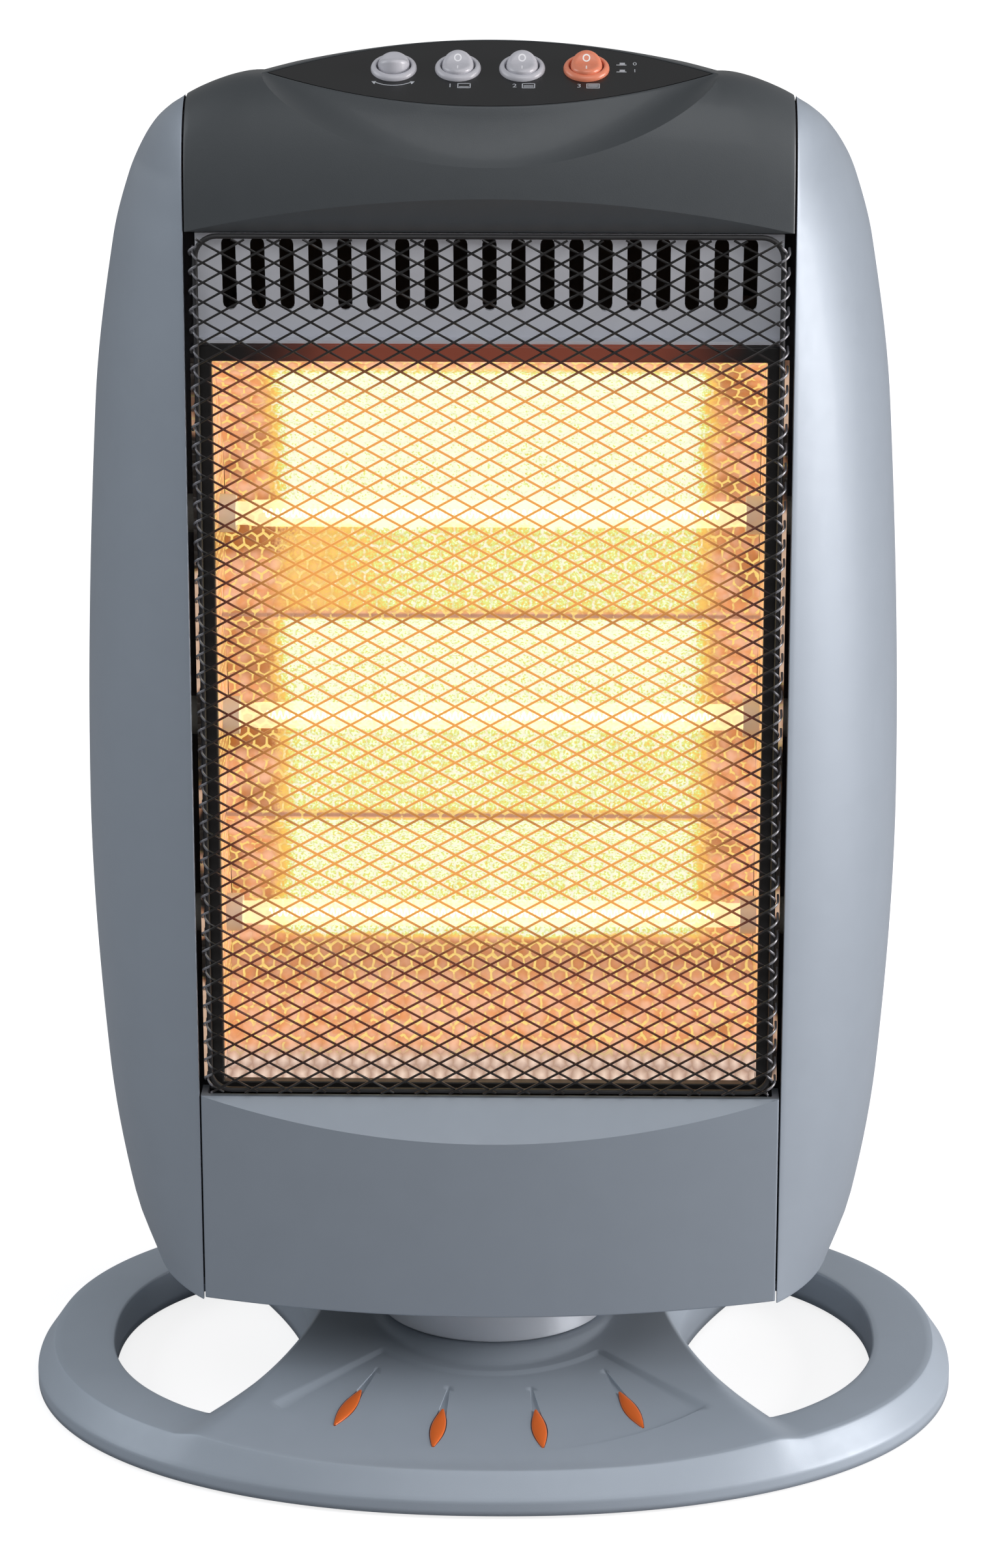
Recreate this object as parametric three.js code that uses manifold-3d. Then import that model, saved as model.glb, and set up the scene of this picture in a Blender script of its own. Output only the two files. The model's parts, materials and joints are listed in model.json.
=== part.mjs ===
// Free-standing halogen heater: a swivelling head with three lamps on a ring-shaped moulded base.
// Millimetres, +Z up, front towards -Y. The origin is on the floor, on the swivel axis.
import * as THREE from "three";
import { mergeVertices } from "three/addons/utils/BufferGeometryUtils.js";
import Module from "manifold-3d";

const wasm = await Module();
wasm.setup();

// ---- Driving dimensions ----

const GAP = 0.3; // between pieces that seat on each other
const SEAM = 0.6; // joint line between two shells of the head
const WALL = 2.5; // moulded shells of the head
const LARGE_ROUND = 36; // facets of a full turn
const MEDIUM_ROUND = 24;
const SMALL_ROUND = 16;

const BASE_HALF_WIDTH = 183;
const BASE_HALF_DEPTH = 139;
const BASE_ROUNDNESS = 2.15; // exponent of the superellipse
const RING_WIDTH = 31;
const HOLE_HALF_WIDTH = BASE_HALF_WIDTH - RING_WIDTH;
const HOLE_HALF_DEPTH = BASE_HALF_DEPTH - RING_WIDTH;
const HOLE_ROUNDNESS = 2.3;
const BASE_UNDERSIDE = 1.5; // lower rim above the floor
const RING_TOP = 17;
const EDGE_HEIGHT = 5.5; // upright outer edge below the bevel
const BEVEL_WIDTH = 7;
const BASE_WALL = 2.6;
const BRIDGE_HALF_WIDTH = 75; // at the swivel axis
const BRIDGE_FLARE = 24; // how much wider the bridge gets at FLARE_REACH from the axis
const FLARE_REACH = 67;
const MOUND_RISE = 14; // bridge top above the ring
const MOUND_FLAT = 12; // half length of its level middle
const MOUND_REACH = BASE_HALF_DEPTH - 14; // where it runs out into the ring
const MOUND_SHOULDER = 0.8; // share of the half width that is level
const MOUND_ROOT = 4; // how deep it starts inside the ring
const BOSS_FOOT_RADIUS = 59; // conical boss under the collar
const BOSS_TOP_RADIUS = 49;
const BOSS_CONE = 8; // height of its slope

const FAN_INNER = 60.5; // sunk fan-shaped field in front of the collar
const FAN_OUTER = BASE_HALF_DEPTH - 21;
const ABOVE_BASE = 12; // how far cutters reach above the bridge
const FAN_HALF_ANGLE = 44.5; // degrees
const FAN_DEPTH = 1;
const INLAYS = 4;
const INLAY_PITCH = 23; // degrees
const INLAY_LENGTH = 27;
const INLAY_START = FAN_OUTER - INLAY_LENGTH - 3; // distance of the inner tip from the axis
const INLAY_WIDTH = 8;
const INLAY_POCKET = 1;
const INLAY_PROUD = 0.5;
const INLAY_TIP = 0.04; // share of the leaf curve cut off at each tip
const GROOVE_START = FAN_INNER + 10.5;
const GROOVE_DEPTH = 0.5;
const GROOVE_WIDTH = 4.4;
const GROOVE_TIP = 0.4;

const PLATE_THICKNESS = 2; // sheet that closes the base from below
const PLATE_BOTTOM = 2.5;
const PLATE_PLAY = 0.4;
const FOOT_RADIUS = 7;
const FOOT_CHAMFER = 0.6;
const FOOT_ANGLES = [48, 132, 228, 312]; // degrees round the ring

const COLLAR_RADIUS = 46;
const COLLAR_HEIGHT = 14;
const COLLAR_ROUND = 4;
const TUBE_RADIUS = 12; // hollow swivel pivot
const TUBE_BORE = 8;
const TUBE_FLANGE_RADIUS = 24;
const TUBE_FLANGE = 3;
const TUBE_CLEARANCE = 0.4;

const TIP_SWITCH_Y = -45; // tip-over switch under the bridge
const PLUNGER_RADIUS = 3;
const PLUNGER_LENGTH = 15;
const PLUNGER_TRAVEL = 4.5;
const PLUNGER_FLANGE = 1.2;
const PLUNGER_TIP = 0.8;
const TIP_SWITCH_WIDTH = 20;
const TIP_SWITCH_DEPTH = 16;
const TIP_SWITCH_ROOF = 2;

const HEAD_BOTTOM = 60;
const SHOULDER_Z = 522; // crest of the head at the seams
const SHOULDER_Y = -50;
const GUARD_TOP = SHOULDER_Z - 46; // lower edge of the top cover
const GUARD_BOTTOM = HEAD_BOTTOM + 85; // upper edge of the lower panel
const COLUMN_HALF = 110; // half width of the middle column
const COLUMN_FRONT = -77; // front face at the seams
const COLUMN_BULGE = 11; // further forward in the middle
const LEAN_REACH = (SHOULDER_Z - HEAD_BOTTOM) / 2;
const COLUMN_MIDDLE_Z = HEAD_BOTTOM + LEAN_REACH;
const COLUMN_LEAN = 4.6; // how far the front has fallen back at LEAN_REACH from the middle height
const BROW_Z = GUARD_TOP + 4; // front starts to round over
const BROW_ROUNDNESS = 2.4;
const BACK_Y = 48; // rear face at the seams
const BACK_BULGE = 8;
const BACK_ROUND_Z = SHOULDER_Z - 92; // rear starts to round over
const BACK_TUCK_Z = HEAD_BOTTOM + 190; // rear starts to fall in below this
const BACK_TUCK = 12;
const SIDE_SWELL = 45.5; // widest place of the side panels beyond the column
const SIDE_WIDEST_Y = -8;
const SIDE_ARC_CENTRE = COLUMN_HALF - 50;
const SIDE_BULGE = [
  [0, 0.5],
  [0.054, 0.7],
  [0.173, 0.89],
  [0.405, 1],
  [0.74, 0.87],
  [0.874, 0.69],
  [0.926, 0.546],
  [0.952, 0.425],
  [0.976, 0.27],
  [0.991, 0.126],
  [1, 0],
]; // share of the height, share of the side panel's bulge
const SIDE_LEVELS = [0, 0.04, 0.12, 0.25, 0.42, 0.6, 0.75, 0.85, 0.91, 0.95, 0.975, 0.996];

const BROW_FACET = 14; // lens facet above the guard
const SILL_FACET = 15; // lens facet below the guard
const LIP_SAG = 3; // lower edge of the front panel in the middle
const PANEL_LIP = 1; // front panel and pan above the side panels' lower edges
const FRONT_FLANGE = 12; // side returns of the front panel

const EYE_HALF_WIDTH = COLUMN_HALF - 28; // slanted control panel
const EYE_TIP_Y = SHOULDER_Y - 5.4;
const EYE_TIP_Z = SHOULDER_Z + 8.6;
const EYE_TILT = 24; // degrees
const EYE_HALF_LENGTH = 22.4; // along the slope
const CHIN_DROP = 29.6; // lower edge of the chin below the tips
const CHIN_POWER = 0.8;
const CROWN_RISE = 14; // how far the uncut brow would rise in the middle
const PANEL_THICKNESS = 2;
const PANEL_SEAT = 6; // cover thickness under the control panel
const PANEL_BORDER = 0.8;

const SWITCHES = 4;
const SWITCH_PITCH = 23.1;
const SWITCH_V = 2.5; // up the slope from the tips
const BEZEL_RADIUS = 8.3;
const BEZEL_HEIGHT = 2;
const SWITCH_BODY_RADIUS = 7.3;
const SWITCH_BORE = 6.7;
const SWITCH_DEPTH = 14;
const SWITCH_FLOOR = 8;
const ROCKER_RADIUS = 5.7;
const ROCKER_TILT = 15; // degrees each way
const ROCKER_PIVOT = -1; // below the panel face
const ROCKER_RIM = 4.4;
const ROCKER_WAIST = 2.2;
const ROCKER_KEEL = 5;

const GUARD_RAIL = 3; // frame of the guard
const GUARD_FRONT = -78;
const GUARD_DEPTH = 7;
const GUARD_CORNER = 9;
const GUARD_WIRE = 1.1;
const GUARD_LAYER = 1.3; // between the two layers of wires
const MESH_WIDTH = 12.9; // one diamond
const MESH_HEIGHT = 7.2;

const REFLECTOR_TOP = GUARD_TOP - 48;
const REFLECTOR_BOTTOM = GUARD_BOTTOM + 4;
const REFLECTOR_HALF_WIDTH = COLUMN_HALF - 9;
const REFLECTOR_BACK = -20;
const REFLECTOR_RIDGE = -41;
const REFLECTOR_SHEET = 1;
const REFLECTOR_FLANGE = 8;
const BEZEL_FRAME_BAR = 6; // black frame round the reflector
const BEZEL_FRAME_DEPTH = 5;
const LAMPS = 3;
const LAMP_PITCH = 78.5;
const LAMP_MIDDLE_Z = (REFLECTOR_TOP + REFLECTOR_BOTTOM) / 2 - 3;
const LAMP_Y = -40;
const LAMP_RADIUS = 5;
const LAMP_PINCH = 0.6;
const LAMP_HALF_LENGTH = REFLECTOR_HALF_WIDTH - 3;
const SOCKET_RADIUS = 7.3;
const SOCKET_START = LAMP_HALF_LENGTH - 3;
const SOCKET_END = SOCKET_START + 22;
const TERMINAL_RADIUS = 3;
const TERMINAL_LENGTH = 4;
const SOCKET_BORE_DEPTH = 4;

const BAFFLE_SLOTS = 19;
const BAFFLE_PITCH = (2 * COLUMN_HALF) / (BAFFLE_SLOTS + 2);
const BAFFLE_SLOT_WIDTH = 5.2;
const BAFFLE_SLOT_BOTTOM = GUARD_TOP - 30;
const BAFFLE_SLOT_MARGIN = 1.5;
const BAFFLE_TILT = 10; // degrees
const BAFFLE_SHEET = 1.2;
const BAFFLE_LIP = 3; // in front of the black frame's back
const BAFFLE_SETBACK = 5; // foot behind the black frame

const REAR_FLANGE = 14;
const HANDLE_Z = BACK_ROUND_Z - 32;
const HANDLE_HALF_WIDTH = 45;
const HANDLE_HEIGHT = 32;
const HANDLE_DEPTH = 22;
const REAR_SLOTS = 9;
const REAR_SLOT_PITCH = 15;
const REAR_SLOT_WIDTH = 4;
const REAR_SLOT_HEIGHT = 42;
const REAR_SLOT_MIDDLES = [HEAD_BOTTOM + 80, HANDLE_Z - 54];
const SCREW_X = COLUMN_HALF - 13;
const SCREW_HEIGHTS = [HEAD_BOTTOM + 28, (HEAD_BOTTOM + BACK_ROUND_Z) / 2, BACK_ROUND_Z - 5];
const SCREW_BOSS = 2.6; // wall round a screw's recess
const SCREW_BOSS_DEPTH = 9;
const SCREW_CROSS = 4;
const SCREW_HEAD_RADIUS = 3.6;
const SCREW_HEAD = 2;
const SCREW_SHANK_RADIUS = 1.7;
const SCREW_LENGTH = 12;
const SCREW_RECESS = 3.2;
const GLAND_Z = HEAD_BOTTOM + 24;
const GLAND_RADIUS = 5.6;
const GLAND_FLANGE_RADIUS = 8.4;
const GLAND_BORE = 3.4;
const GLAND_LENGTH = 13;
const GLAND_LIP = 2;
const GLAND_NOSE = 3;

const PAN_THICKNESS = 3;
const PAN_RIM = 10;
const PAN_RIM_WALL = 2;
const PAN_BOSS_RADIUS = 34;
const OSCILLATION = 35; // degrees each way
const MOTOR_RADIUS = 24;
const MOTOR_X = 2 * MOTOR_RADIUS; // motor axis from the swivel axis
const MOTOR_HEIGHT = 19;
const MOTOR_SHAFT_RADIUS = 3;
const MOTOR_EAR = 4;
const MOTOR_EAR_THICKNESS = 1.5;
const POST_DISTANCE = 22; // fixed post from the swivel axis
const PIN_RADIUS = 2;
const ARM_THICKNESS = 3;
const ARM_CLEARANCE = 0.8;
const ARM_WIDTH = 9;
const CRANK_WIDTH = 8;
const HUB_WALL = 5;
const LINK_WIDTH = 7;
const EYE_WALL = 2.5;
const OPEN_PIVOT_CLEARANCE = 3.6; // the eye that the linkage is opened at
const WASHER_RADIUS = 22;
const WASHER_THICKNESS = 2;
const CLIP_RADIUS = 17;
const PLAN_REACH = 2 * BASE_HALF_DEPTH; // past the head in plan, for cutters

// ---- Materials ----

const paint = (color, roughness, metalness = 0) =>
  new THREE.MeshStandardMaterial({ color, roughness, metalness });
const materials = {
  silver: paint(0x8e959d, 0.42, 0.25),
  charcoal: paint(0x3a3f45, 0.55),
  gloss: paint(0x16181b, 0.25),
  amber: paint(0xe0692c, 0.35),
  switchGrey: paint(0xc2c2ca, 0.4),
  switchAmber: paint(0xe0856a, 0.35),
  wire: paint(0x17181a, 0.45, 0.3),
  steel: paint(0xa6abb2, 0.35, 0.8),
  chrome: paint(0xd0d4d8, 0.15, 1),
  mirror: paint(0xd8d4cc, 0.2, 1),
  quartz: paint(0xfff0d8, 0.1),
  ceramic: paint(0xe6e1d6, 0.7),
  rubber: paint(0x1c1c1c, 0.9),
  black: paint(0x222326, 0.6),
  brass: paint(0xb99b52, 0.35, 0.9),
};

// ---- Geometry helpers ----

const radians = THREE.MathUtils.degToRad;
const clamp = THREE.MathUtils.clamp;
const vector = (x, y, z) => new THREE.Vector3(x, y, z);

// A closed geometry as a manifold solid; a profile drawn the other way round is turned to face out.
function solid(geometry) {
  const bare = new THREE.BufferGeometry();
  bare.setAttribute("position", geometry.getAttribute("position"));
  if (geometry.index) bare.setIndex(geometry.index);
  const merged = mergeVertices(bare, 1e-4);
  const corners = Array.from(merged.index.array);
  const faces = [];
  for (let i = 0; i < corners.length; i += 3) {
    const [a, b, c] = corners.slice(i, i + 3);
    if (a !== b && b !== c && c !== a) faces.push(a, b, c);
  }
  const build = (list) =>
    new wasm.Manifold(
      new wasm.Mesh({
        numProp: 3,
        vertProperties: new Float32Array(merged.attributes.position.array),
        triVerts: new Uint32Array(list),
      }),
    );
  const made = build(faces);
  return made.volume() < 0 ? build(faces.reverse()) : made;
}

const join = (first, ...others) => others.reduce((sum, other) => sum.add(other), first);
const cut = (first, ...others) => others.reduce((rest, other) => rest.subtract(other), first);

function mesh(name, shape, material) {
  const { vertProperties, triVerts } = shape.getMesh();
  const geometry = new THREE.BufferGeometry();
  geometry.setAttribute("position", new THREE.BufferAttribute(vertProperties, 3));
  geometry.setIndex(new THREE.BufferAttribute(triVerts, 1));
  geometry.computeVertexNormals();
  const made = new THREE.Mesh(geometry, material);
  made.name = name;
  return made;
}

// A solid through rows of points, each row a closed loop. The end loops are filled as they look through flat,
// or without it by strips from each point to its counterpart in the loop's second half.
function loft(rows, flat) {
  const count = rows[0].length;
  const index = [];
  for (let row = 0; row + 1 < rows.length; row++)
    for (let i = 0; i < count; i++) {
      const a = row * count + i;
      const b = row * count + ((i + 1) % count);
      index.push(a, b, b + count, a, b + count, a + count);
    }
  for (const row of [0, rows.length - 1]) {
    const at = (i) => i + row * count;
    if (!flat) {
      for (let i = 0; i + 1 < count / 2; i++) {
        const [a, b, c, d] = [i, i + 1, count - 2 - i, count - 1 - i].map(at);
        index.push(...(row ? [a, b, c, a, c, d] : [a, c, b, a, d, c]));
      }
      continue;
    }
    const loop = rows[row].map(flat);
    const turned = THREE.ShapeUtils.area(loop) > 0 === (row === 0);
    for (const [a, b, c] of THREE.ShapeUtils.triangulateShape(loop, [])) {
      const [i, j, k] = [a, b, c].map(at);
      index.push(...(turned ? [i, k, j] : [i, j, k]));
    }
  }
  const geometry = new THREE.BufferGeometry().setFromPoints(rows.flat());
  geometry.setIndex(index);
  return solid(geometry);
}

const fromAbove = (point) => new THREE.Vector2(point.x, point.y);
const fromSide = (point) => new THREE.Vector2(point.y, point.z);
const fromFront = (point) => new THREE.Vector2(point.x, point.z);

// A solid between two height fields over a grid of plan points; place(i, j) gives x, y, low and high.
function slab(columns, rows, place) {
  const loops = [];
  for (let j = 0; j <= rows; j++) {
    const high = [];
    const low = [];
    for (let i = 0; i <= columns; i++) {
      const [x, y, bottom, top] = place(i / columns, j / rows);
      high.push(vector(x, y, top));
      low.unshift(vector(x, y, bottom));
    }
    loops.push([...high, ...low]);
  }
  return loft(loops);
}

function box(x0, x1, y0, y1, z0, z1) {
  const geometry = new THREE.BoxGeometry(x1 - x0, y1 - y0, z1 - z0);
  geometry.translate((x0 + x1) / 2, (y0 + y1) / 2, (z0 + z1) / 2);
  return solid(geometry);
}

// A cylinder between two points.
function rod(radius, from, to, sides = SMALL_ROUND) {
  const along = to.clone().sub(from);
  const geometry = new THREE.CylinderGeometry(radius, radius, along.length(), sides);
  const turn = new THREE.Quaternion().setFromUnitVectors(vector(0, 1, 0), along.normalize());
  geometry.applyQuaternion(turn);
  geometry.translate(...from.clone().add(to).multiplyScalar(0.5).toArray());
  return solid(geometry);
}

const upright = (radius, x, y, z0, z1, sides) => rod(radius, vector(x, y, z0), vector(x, y, z1), sides);

// A turned piece about the Z axis through (x, y) from [radius, z] pairs that go once round its section.
function turned(profile, x = 0, y = 0, sides = LARGE_ROUND) {
  const points = [...profile, profile[0]].map(([radius, z]) => new THREE.Vector2(radius, z));
  const geometry = new THREE.LatheGeometry(points, sides);
  geometry.rotateX(Math.PI / 2);
  geometry.translate(x, y, 0);
  return solid(geometry);
}

// An outline of plan points between two heights.
const prism = (outline, z0, z1) =>
  loft(
    [z0, z1].map((z) => outline.map(([x, y]) => vector(x, y, z))),
    fromAbove,
  );

// A smooth function through [input, value] pairs, by Hermite pieces.
function smooth(pairs) {
  const slope = (i) => {
    const before = pairs[Math.max(i - 1, 0)];
    const after = pairs[Math.min(i + 1, pairs.length - 1)];
    return (after[1] - before[1]) / (after[0] - before[0]);
  };
  return (input) => {
    const last = pairs.length - 2;
    const found = pairs.findIndex(([at], i) => i > last || input < pairs[i + 1][0] || i === last);
    const [[x0, y0], [x1, y1]] = [pairs[found], pairs[found + 1]];
    const width = x1 - x0;
    const t = clamp((input - x0) / width, 0, 1);
    const rise = t * t * (3 - 2 * t);
    const bend = t * (1 - t) * width;
    return y0 + (y1 - y0) * rise + bend * ((1 - t) * slope(found) - t * slope(found + 1));
  };
}

const spaced = (count, from, to) =>
  Array.from({ length: count }, (_, i) => from + ((to - from) * i) / (count - 1));
const mirrored = (count, pitch) => Array.from({ length: count }, (_, i) => (i - (count - 1) / 2) * pitch);

// ---- Base ----

const superX = (y, halfWidth, halfDepth, power) =>
  halfWidth * Math.max(0, 1 - Math.abs(y / halfDepth) ** power) ** (1 / power);

// Closed superellipse, inset from the given half sizes.
function superellipse(halfWidth, halfDepth, power, inset, count = 64) {
  return Array.from({ length: count }, (_, i) => {
    const angle = (i / count) * 2 * Math.PI;
    const [c, s] = [Math.cos(angle), Math.sin(angle)];
    const round = (value) => Math.sign(value) * Math.abs(value) ** (2 / power);
    return [(halfWidth - inset) * round(c), (halfDepth - inset) * round(s)];
  });
}

const baseOutline = (inset) => superellipse(BASE_HALF_WIDTH, BASE_HALF_DEPTH, BASE_ROUNDNESS, inset);
const bridgeHalf = (y) => BRIDGE_HALF_WIDTH + BRIDGE_FLARE * (Math.abs(y) / FLARE_REACH) ** 1.5;

function moundTop(x, y) {
  const along = clamp((MOUND_REACH - Math.abs(y)) / (MOUND_REACH - MOUND_FLAT), 0, 1);
  const across = clamp((1 - Math.abs(x) / bridgeHalf(y)) / (1 - MOUND_SHOULDER), 0, 1);
  return RING_TOP + MOUND_RISE * along * across;
}

// The opening on the right of the bridge; grow makes it larger all round.
function holeOutline(grow) {
  const edge = (y) =>
    superX(y, HOLE_HALF_WIDTH + grow, HOLE_HALF_DEPTH + grow, HOLE_ROUNDNESS) - (bridgeHalf(y) - grow);
  let [inside, outside] = [0, HOLE_HALF_DEPTH + grow];
  for (let i = 0; i < 40; i++) {
    const middle = (inside + outside) / 2;
    if (edge(middle) > 0) inside = middle;
    else outside = middle;
  }
  const ys = spaced(15, -Math.PI / 2, Math.PI / 2).map((angle) => inside * Math.sin(angle));
  const outer = ys.map((y) => [superX(y, HOLE_HALF_WIDTH + grow, HOLE_HALF_DEPTH + grow, HOLE_ROUNDNESS), y]);
  const inner = ys.slice(1, -1).map((y) => [bridgeHalf(y) - grow, y]);
  return [...outer, ...inner.reverse()];
}

function baseHoles(grow, z0, z1) {
  const right = holeOutline(grow);
  const left = right.map(([x, y]) => [-x, y]);
  return join(prism(right, z0, z1), prism(left, z0, z1));
}

// The base as a full body, or with inset its hollow: ring, bridge mound and boss.
function baseBody(inset, bottom) {
  const top = RING_TOP - inset;
  const levels = [
    [bottom, 0],
    [BASE_UNDERSIDE + EDGE_HEIGHT, 0],
    [top, BEVEL_WIDTH],
  ];
  const ring = loft(
    levels.map(([z, step]) => baseOutline(inset + step).map(([x, y]) => vector(x, y, z))),
    fromAbove,
  );
  const across = [-1, -0.9, -MOUND_SHOULDER, -0.4, 0, 0.4, MOUND_SHOULDER, 0.9, 1];
  const lengths = [-MOUND_REACH, -100, -80, -60, -40, -25, -MOUND_FLAT];
  const along = [...lengths, ...lengths.map((y) => -y).reverse()];
  const mound = slab(across.length - 1, along.length - 1, (u, v) => {
    const y = along[Math.round(v * (along.length - 1))];
    const x = across[Math.round(u * (across.length - 1))] * bridgeHalf(y);
    return [x, y, top - MOUND_ROOT, moundTop(x, y) - inset];
  }).intersect(prism(baseOutline(BEVEL_WIDTH + inset), bottom, RING_TOP + MOUND_RISE + 1));
  const boss = turned([
    [0, top - MOUND_ROOT],
    [BOSS_FOOT_RADIUS - inset, top - MOUND_ROOT],
    [BOSS_FOOT_RADIUS - inset, top + MOUND_RISE - BOSS_CONE],
    [BOSS_TOP_RADIUS - inset, top + MOUND_RISE],
    [0, top + MOUND_RISE],
  ]);
  return join(ring, mound, boss);
}

const polar = (radius, degrees) => [radius * Math.sin(radians(degrees)), -radius * Math.cos(radians(degrees))];

// A field of the bridge between two radii; half gives its half width in degrees, low and high lie over the mound.
function field(inner, outer, middle, half, low, high, across, along) {
  return slab(across, along, (u, v) => {
    const radius = inner + (outer - inner) * v;
    const [x, y] = polar(radius, middle + half(v, radius) * (2 * u - 1));
    const top = moundTop(x, y);
    return [x, y, top + low, top + high];
  });
}

const leafHalf = (width) => (v, radius) => {
  const half = (width / 2) * Math.sin(Math.PI * (INLAY_TIP + (1 - 2 * INLAY_TIP) * v));
  return THREE.MathUtils.radToDeg(half / radius);
};
const inlayAngles = mirrored(INLAYS, INLAY_PITCH);

const leaf = (angle, shrink, low, high) =>
  field(
    INLAY_START + shrink,
    INLAY_START + INLAY_LENGTH - shrink,
    angle,
    leafHalf(INLAY_WIDTH - 2 * shrink),
    low,
    high,
    2,
    8,
  );

function baseShell() {
  const body = cut(baseBody(0, BASE_UNDERSIDE), baseHoles(0, 0, RING_TOP + MOUND_RISE));
  const hollow = cut(baseBody(BASE_WALL, 0), baseHoles(BASE_WALL, -1, RING_TOP + MOUND_RISE));
  const fan = field(FAN_INNER, FAN_OUTER, 0, () => FAN_HALF_ANGLE, -FAN_DEPTH, ABOVE_BASE, 8, 4);
  const grooves = inlayAngles.map((angle) =>
    field(
      GROOVE_START,
      INLAY_START + INLAY_LENGTH / 2,
      angle,
      (v, radius) => THREE.MathUtils.radToDeg((GROOVE_WIDTH * v + GROOVE_TIP) / 2 / radius),
      -FAN_DEPTH - GROOVE_DEPTH,
      ABOVE_BASE / 3,
      1,
      2,
    ),
  );
  const pockets = inlayAngles.map((angle) => leaf(angle, 0, -FAN_DEPTH - INLAY_POCKET, ABOVE_BASE / 3));
  const pivotHole = upright(TUBE_RADIUS + TUBE_CLEARANCE, 0, 0, 0, RING_TOP + MOUND_RISE + 2, LARGE_ROUND);
  return mesh("base_shell", cut(body, hollow, fan, ...grooves, ...pockets, pivotHole), materials.silver);
}

function basePlate() {
  const inset = BASE_WALL + PLATE_PLAY;
  const top = PLATE_BOTTOM + PLATE_THICKNESS;
  const plate = cut(
    prism(baseOutline(inset), PLATE_BOTTOM, top),
    baseHoles(inset, 0, top + 1),
    upright(PLUNGER_RADIUS + TUBE_CLEARANCE, 0, TIP_SWITCH_Y, 0, top + 1),
  );
  return mesh("base_bottom_plate", plate, materials.black);
}

const baseInlays = () =>
  inlayAngles.map((angle, i) => {
    const shape = leaf(angle, GAP, -FAN_DEPTH - INLAY_POCKET + GAP, -FAN_DEPTH + INLAY_PROUD);
    return mesh("base_inlay_" + (i + 1), shape, materials.amber);
  });

const rubberFeet = () =>
  FOOT_ANGLES.map((angle, i) => {
    const [halfWidth, halfDepth] = [
      (BASE_HALF_WIDTH + HOLE_HALF_WIDTH) / 2,
      (BASE_HALF_DEPTH + HOLE_HALF_DEPTH) / 2,
    ];
    const round = (value) => Math.sign(value) * Math.abs(value) ** (2 / BASE_ROUNDNESS);
    const x = halfWidth * round(Math.cos(radians(angle)));
    const y = halfDepth * round(Math.sin(radians(angle)));
    const pad = turned(
      [
        [0, 0],
        [FOOT_RADIUS - FOOT_CHAMFER, 0],
        [FOOT_RADIUS, FOOT_CHAMFER],
        [FOOT_RADIUS, PLATE_BOTTOM - GAP],
        [0, PLATE_BOTTOM - GAP],
      ],
      x,
      y,
      SMALL_ROUND,
    );
    return mesh("rubber_foot_" + (i + 1), pad, materials.rubber);
  });

// ---- Swivel ----

const bossTop = RING_TOP + MOUND_RISE;
const collarTop = bossTop + GAP + COLLAR_HEIGHT;
const panBottom = HEAD_BOTTOM + PANEL_LIP;
const panTop = panBottom + PAN_THICKNESS;
const boreRadius = TUBE_RADIUS + TUBE_CLEARANCE;

const ring = (inner, outer, z0, z1) =>
  turned([
    [inner, z0],
    [outer, z0],
    [outer, z1],
    [inner, z1],
  ]);

function swivelCollar() {
  const bottom = bossTop + GAP;
  const rounding = spaced(5, 0, Math.PI / 2).map((angle) => [
    COLLAR_RADIUS - COLLAR_ROUND * (1 - Math.cos(angle)),
    collarTop - COLLAR_ROUND * (1 - Math.sin(angle)),
  ]);
  const shape = turned([[boreRadius, bottom], [COLLAR_RADIUS, bottom], ...rounding, [boreRadius, collarTop]]);
  return mesh("swivel_collar", shape, materials.chrome);
}

function pivotTube() {
  const tubeTop = armBottom + ARM_THICKNESS;
  const flangeTop = bossTop - BASE_WALL - GAP;
  const shape = turned([
    [TUBE_BORE, flangeTop - TUBE_FLANGE],
    [TUBE_FLANGE_RADIUS, flangeTop - TUBE_FLANGE],
    [TUBE_FLANGE_RADIUS, flangeTop],
    [TUBE_RADIUS, flangeTop],
    [TUBE_RADIUS, tubeTop],
    [TUBE_BORE, tubeTop],
  ]);
  return mesh("pivot_tube", shape, materials.steel);
}

// Oscillation linkage, solved from the motor place, the post and the swing each way.
const reachAt = (degrees) =>
  Math.sqrt(MOTOR_X ** 2 + POST_DISTANCE ** 2 - 2 * MOTOR_X * POST_DISTANCE * Math.cos(radians(degrees)));
const [nearReach, farReach] = [reachAt(90 - OSCILLATION), reachAt(90 + OSCILLATION)];
const crankRadius = (farReach - nearReach) / 2;
const linkLength = (farReach + nearReach) / 2;
const restReach = reachAt(90);
const restTurn = Math.acos(
  (crankRadius ** 2 + restReach ** 2 - linkLength ** 2) / (2 * crankRadius * restReach),
);
const crankAngle = Math.atan2(POST_DISTANCE, -MOTOR_X) - restTurn;
const crankPin = [MOTOR_X + crankRadius * Math.cos(crankAngle), crankRadius * Math.sin(crankAngle)];
const motorTop = panTop + GAP + MOTOR_HEIGHT;
const armBottom = motorTop + ARM_CLEARANCE;
const linkBottom = armBottom + ARM_THICKNESS + ARM_CLEARANCE;
const pinTop = linkBottom + ARM_THICKNESS + ARM_CLEARANCE;

// A flat bar with round ends from one plan point to another.
function bar(from, to, width, z0, z1) {
  const direction = Math.atan2(to[1] - from[1], to[0] - from[0]);
  const end = ([x, y], turn) =>
    spaced(9, -Math.PI / 2, Math.PI / 2).map((angle) => [
      x + (width / 2) * Math.cos(angle + turn),
      y + (width / 2) * Math.sin(angle + turn),
    ]);
  return prism([...end(to, direction), ...end(from, direction + Math.PI)], z0, z1);
}

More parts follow.
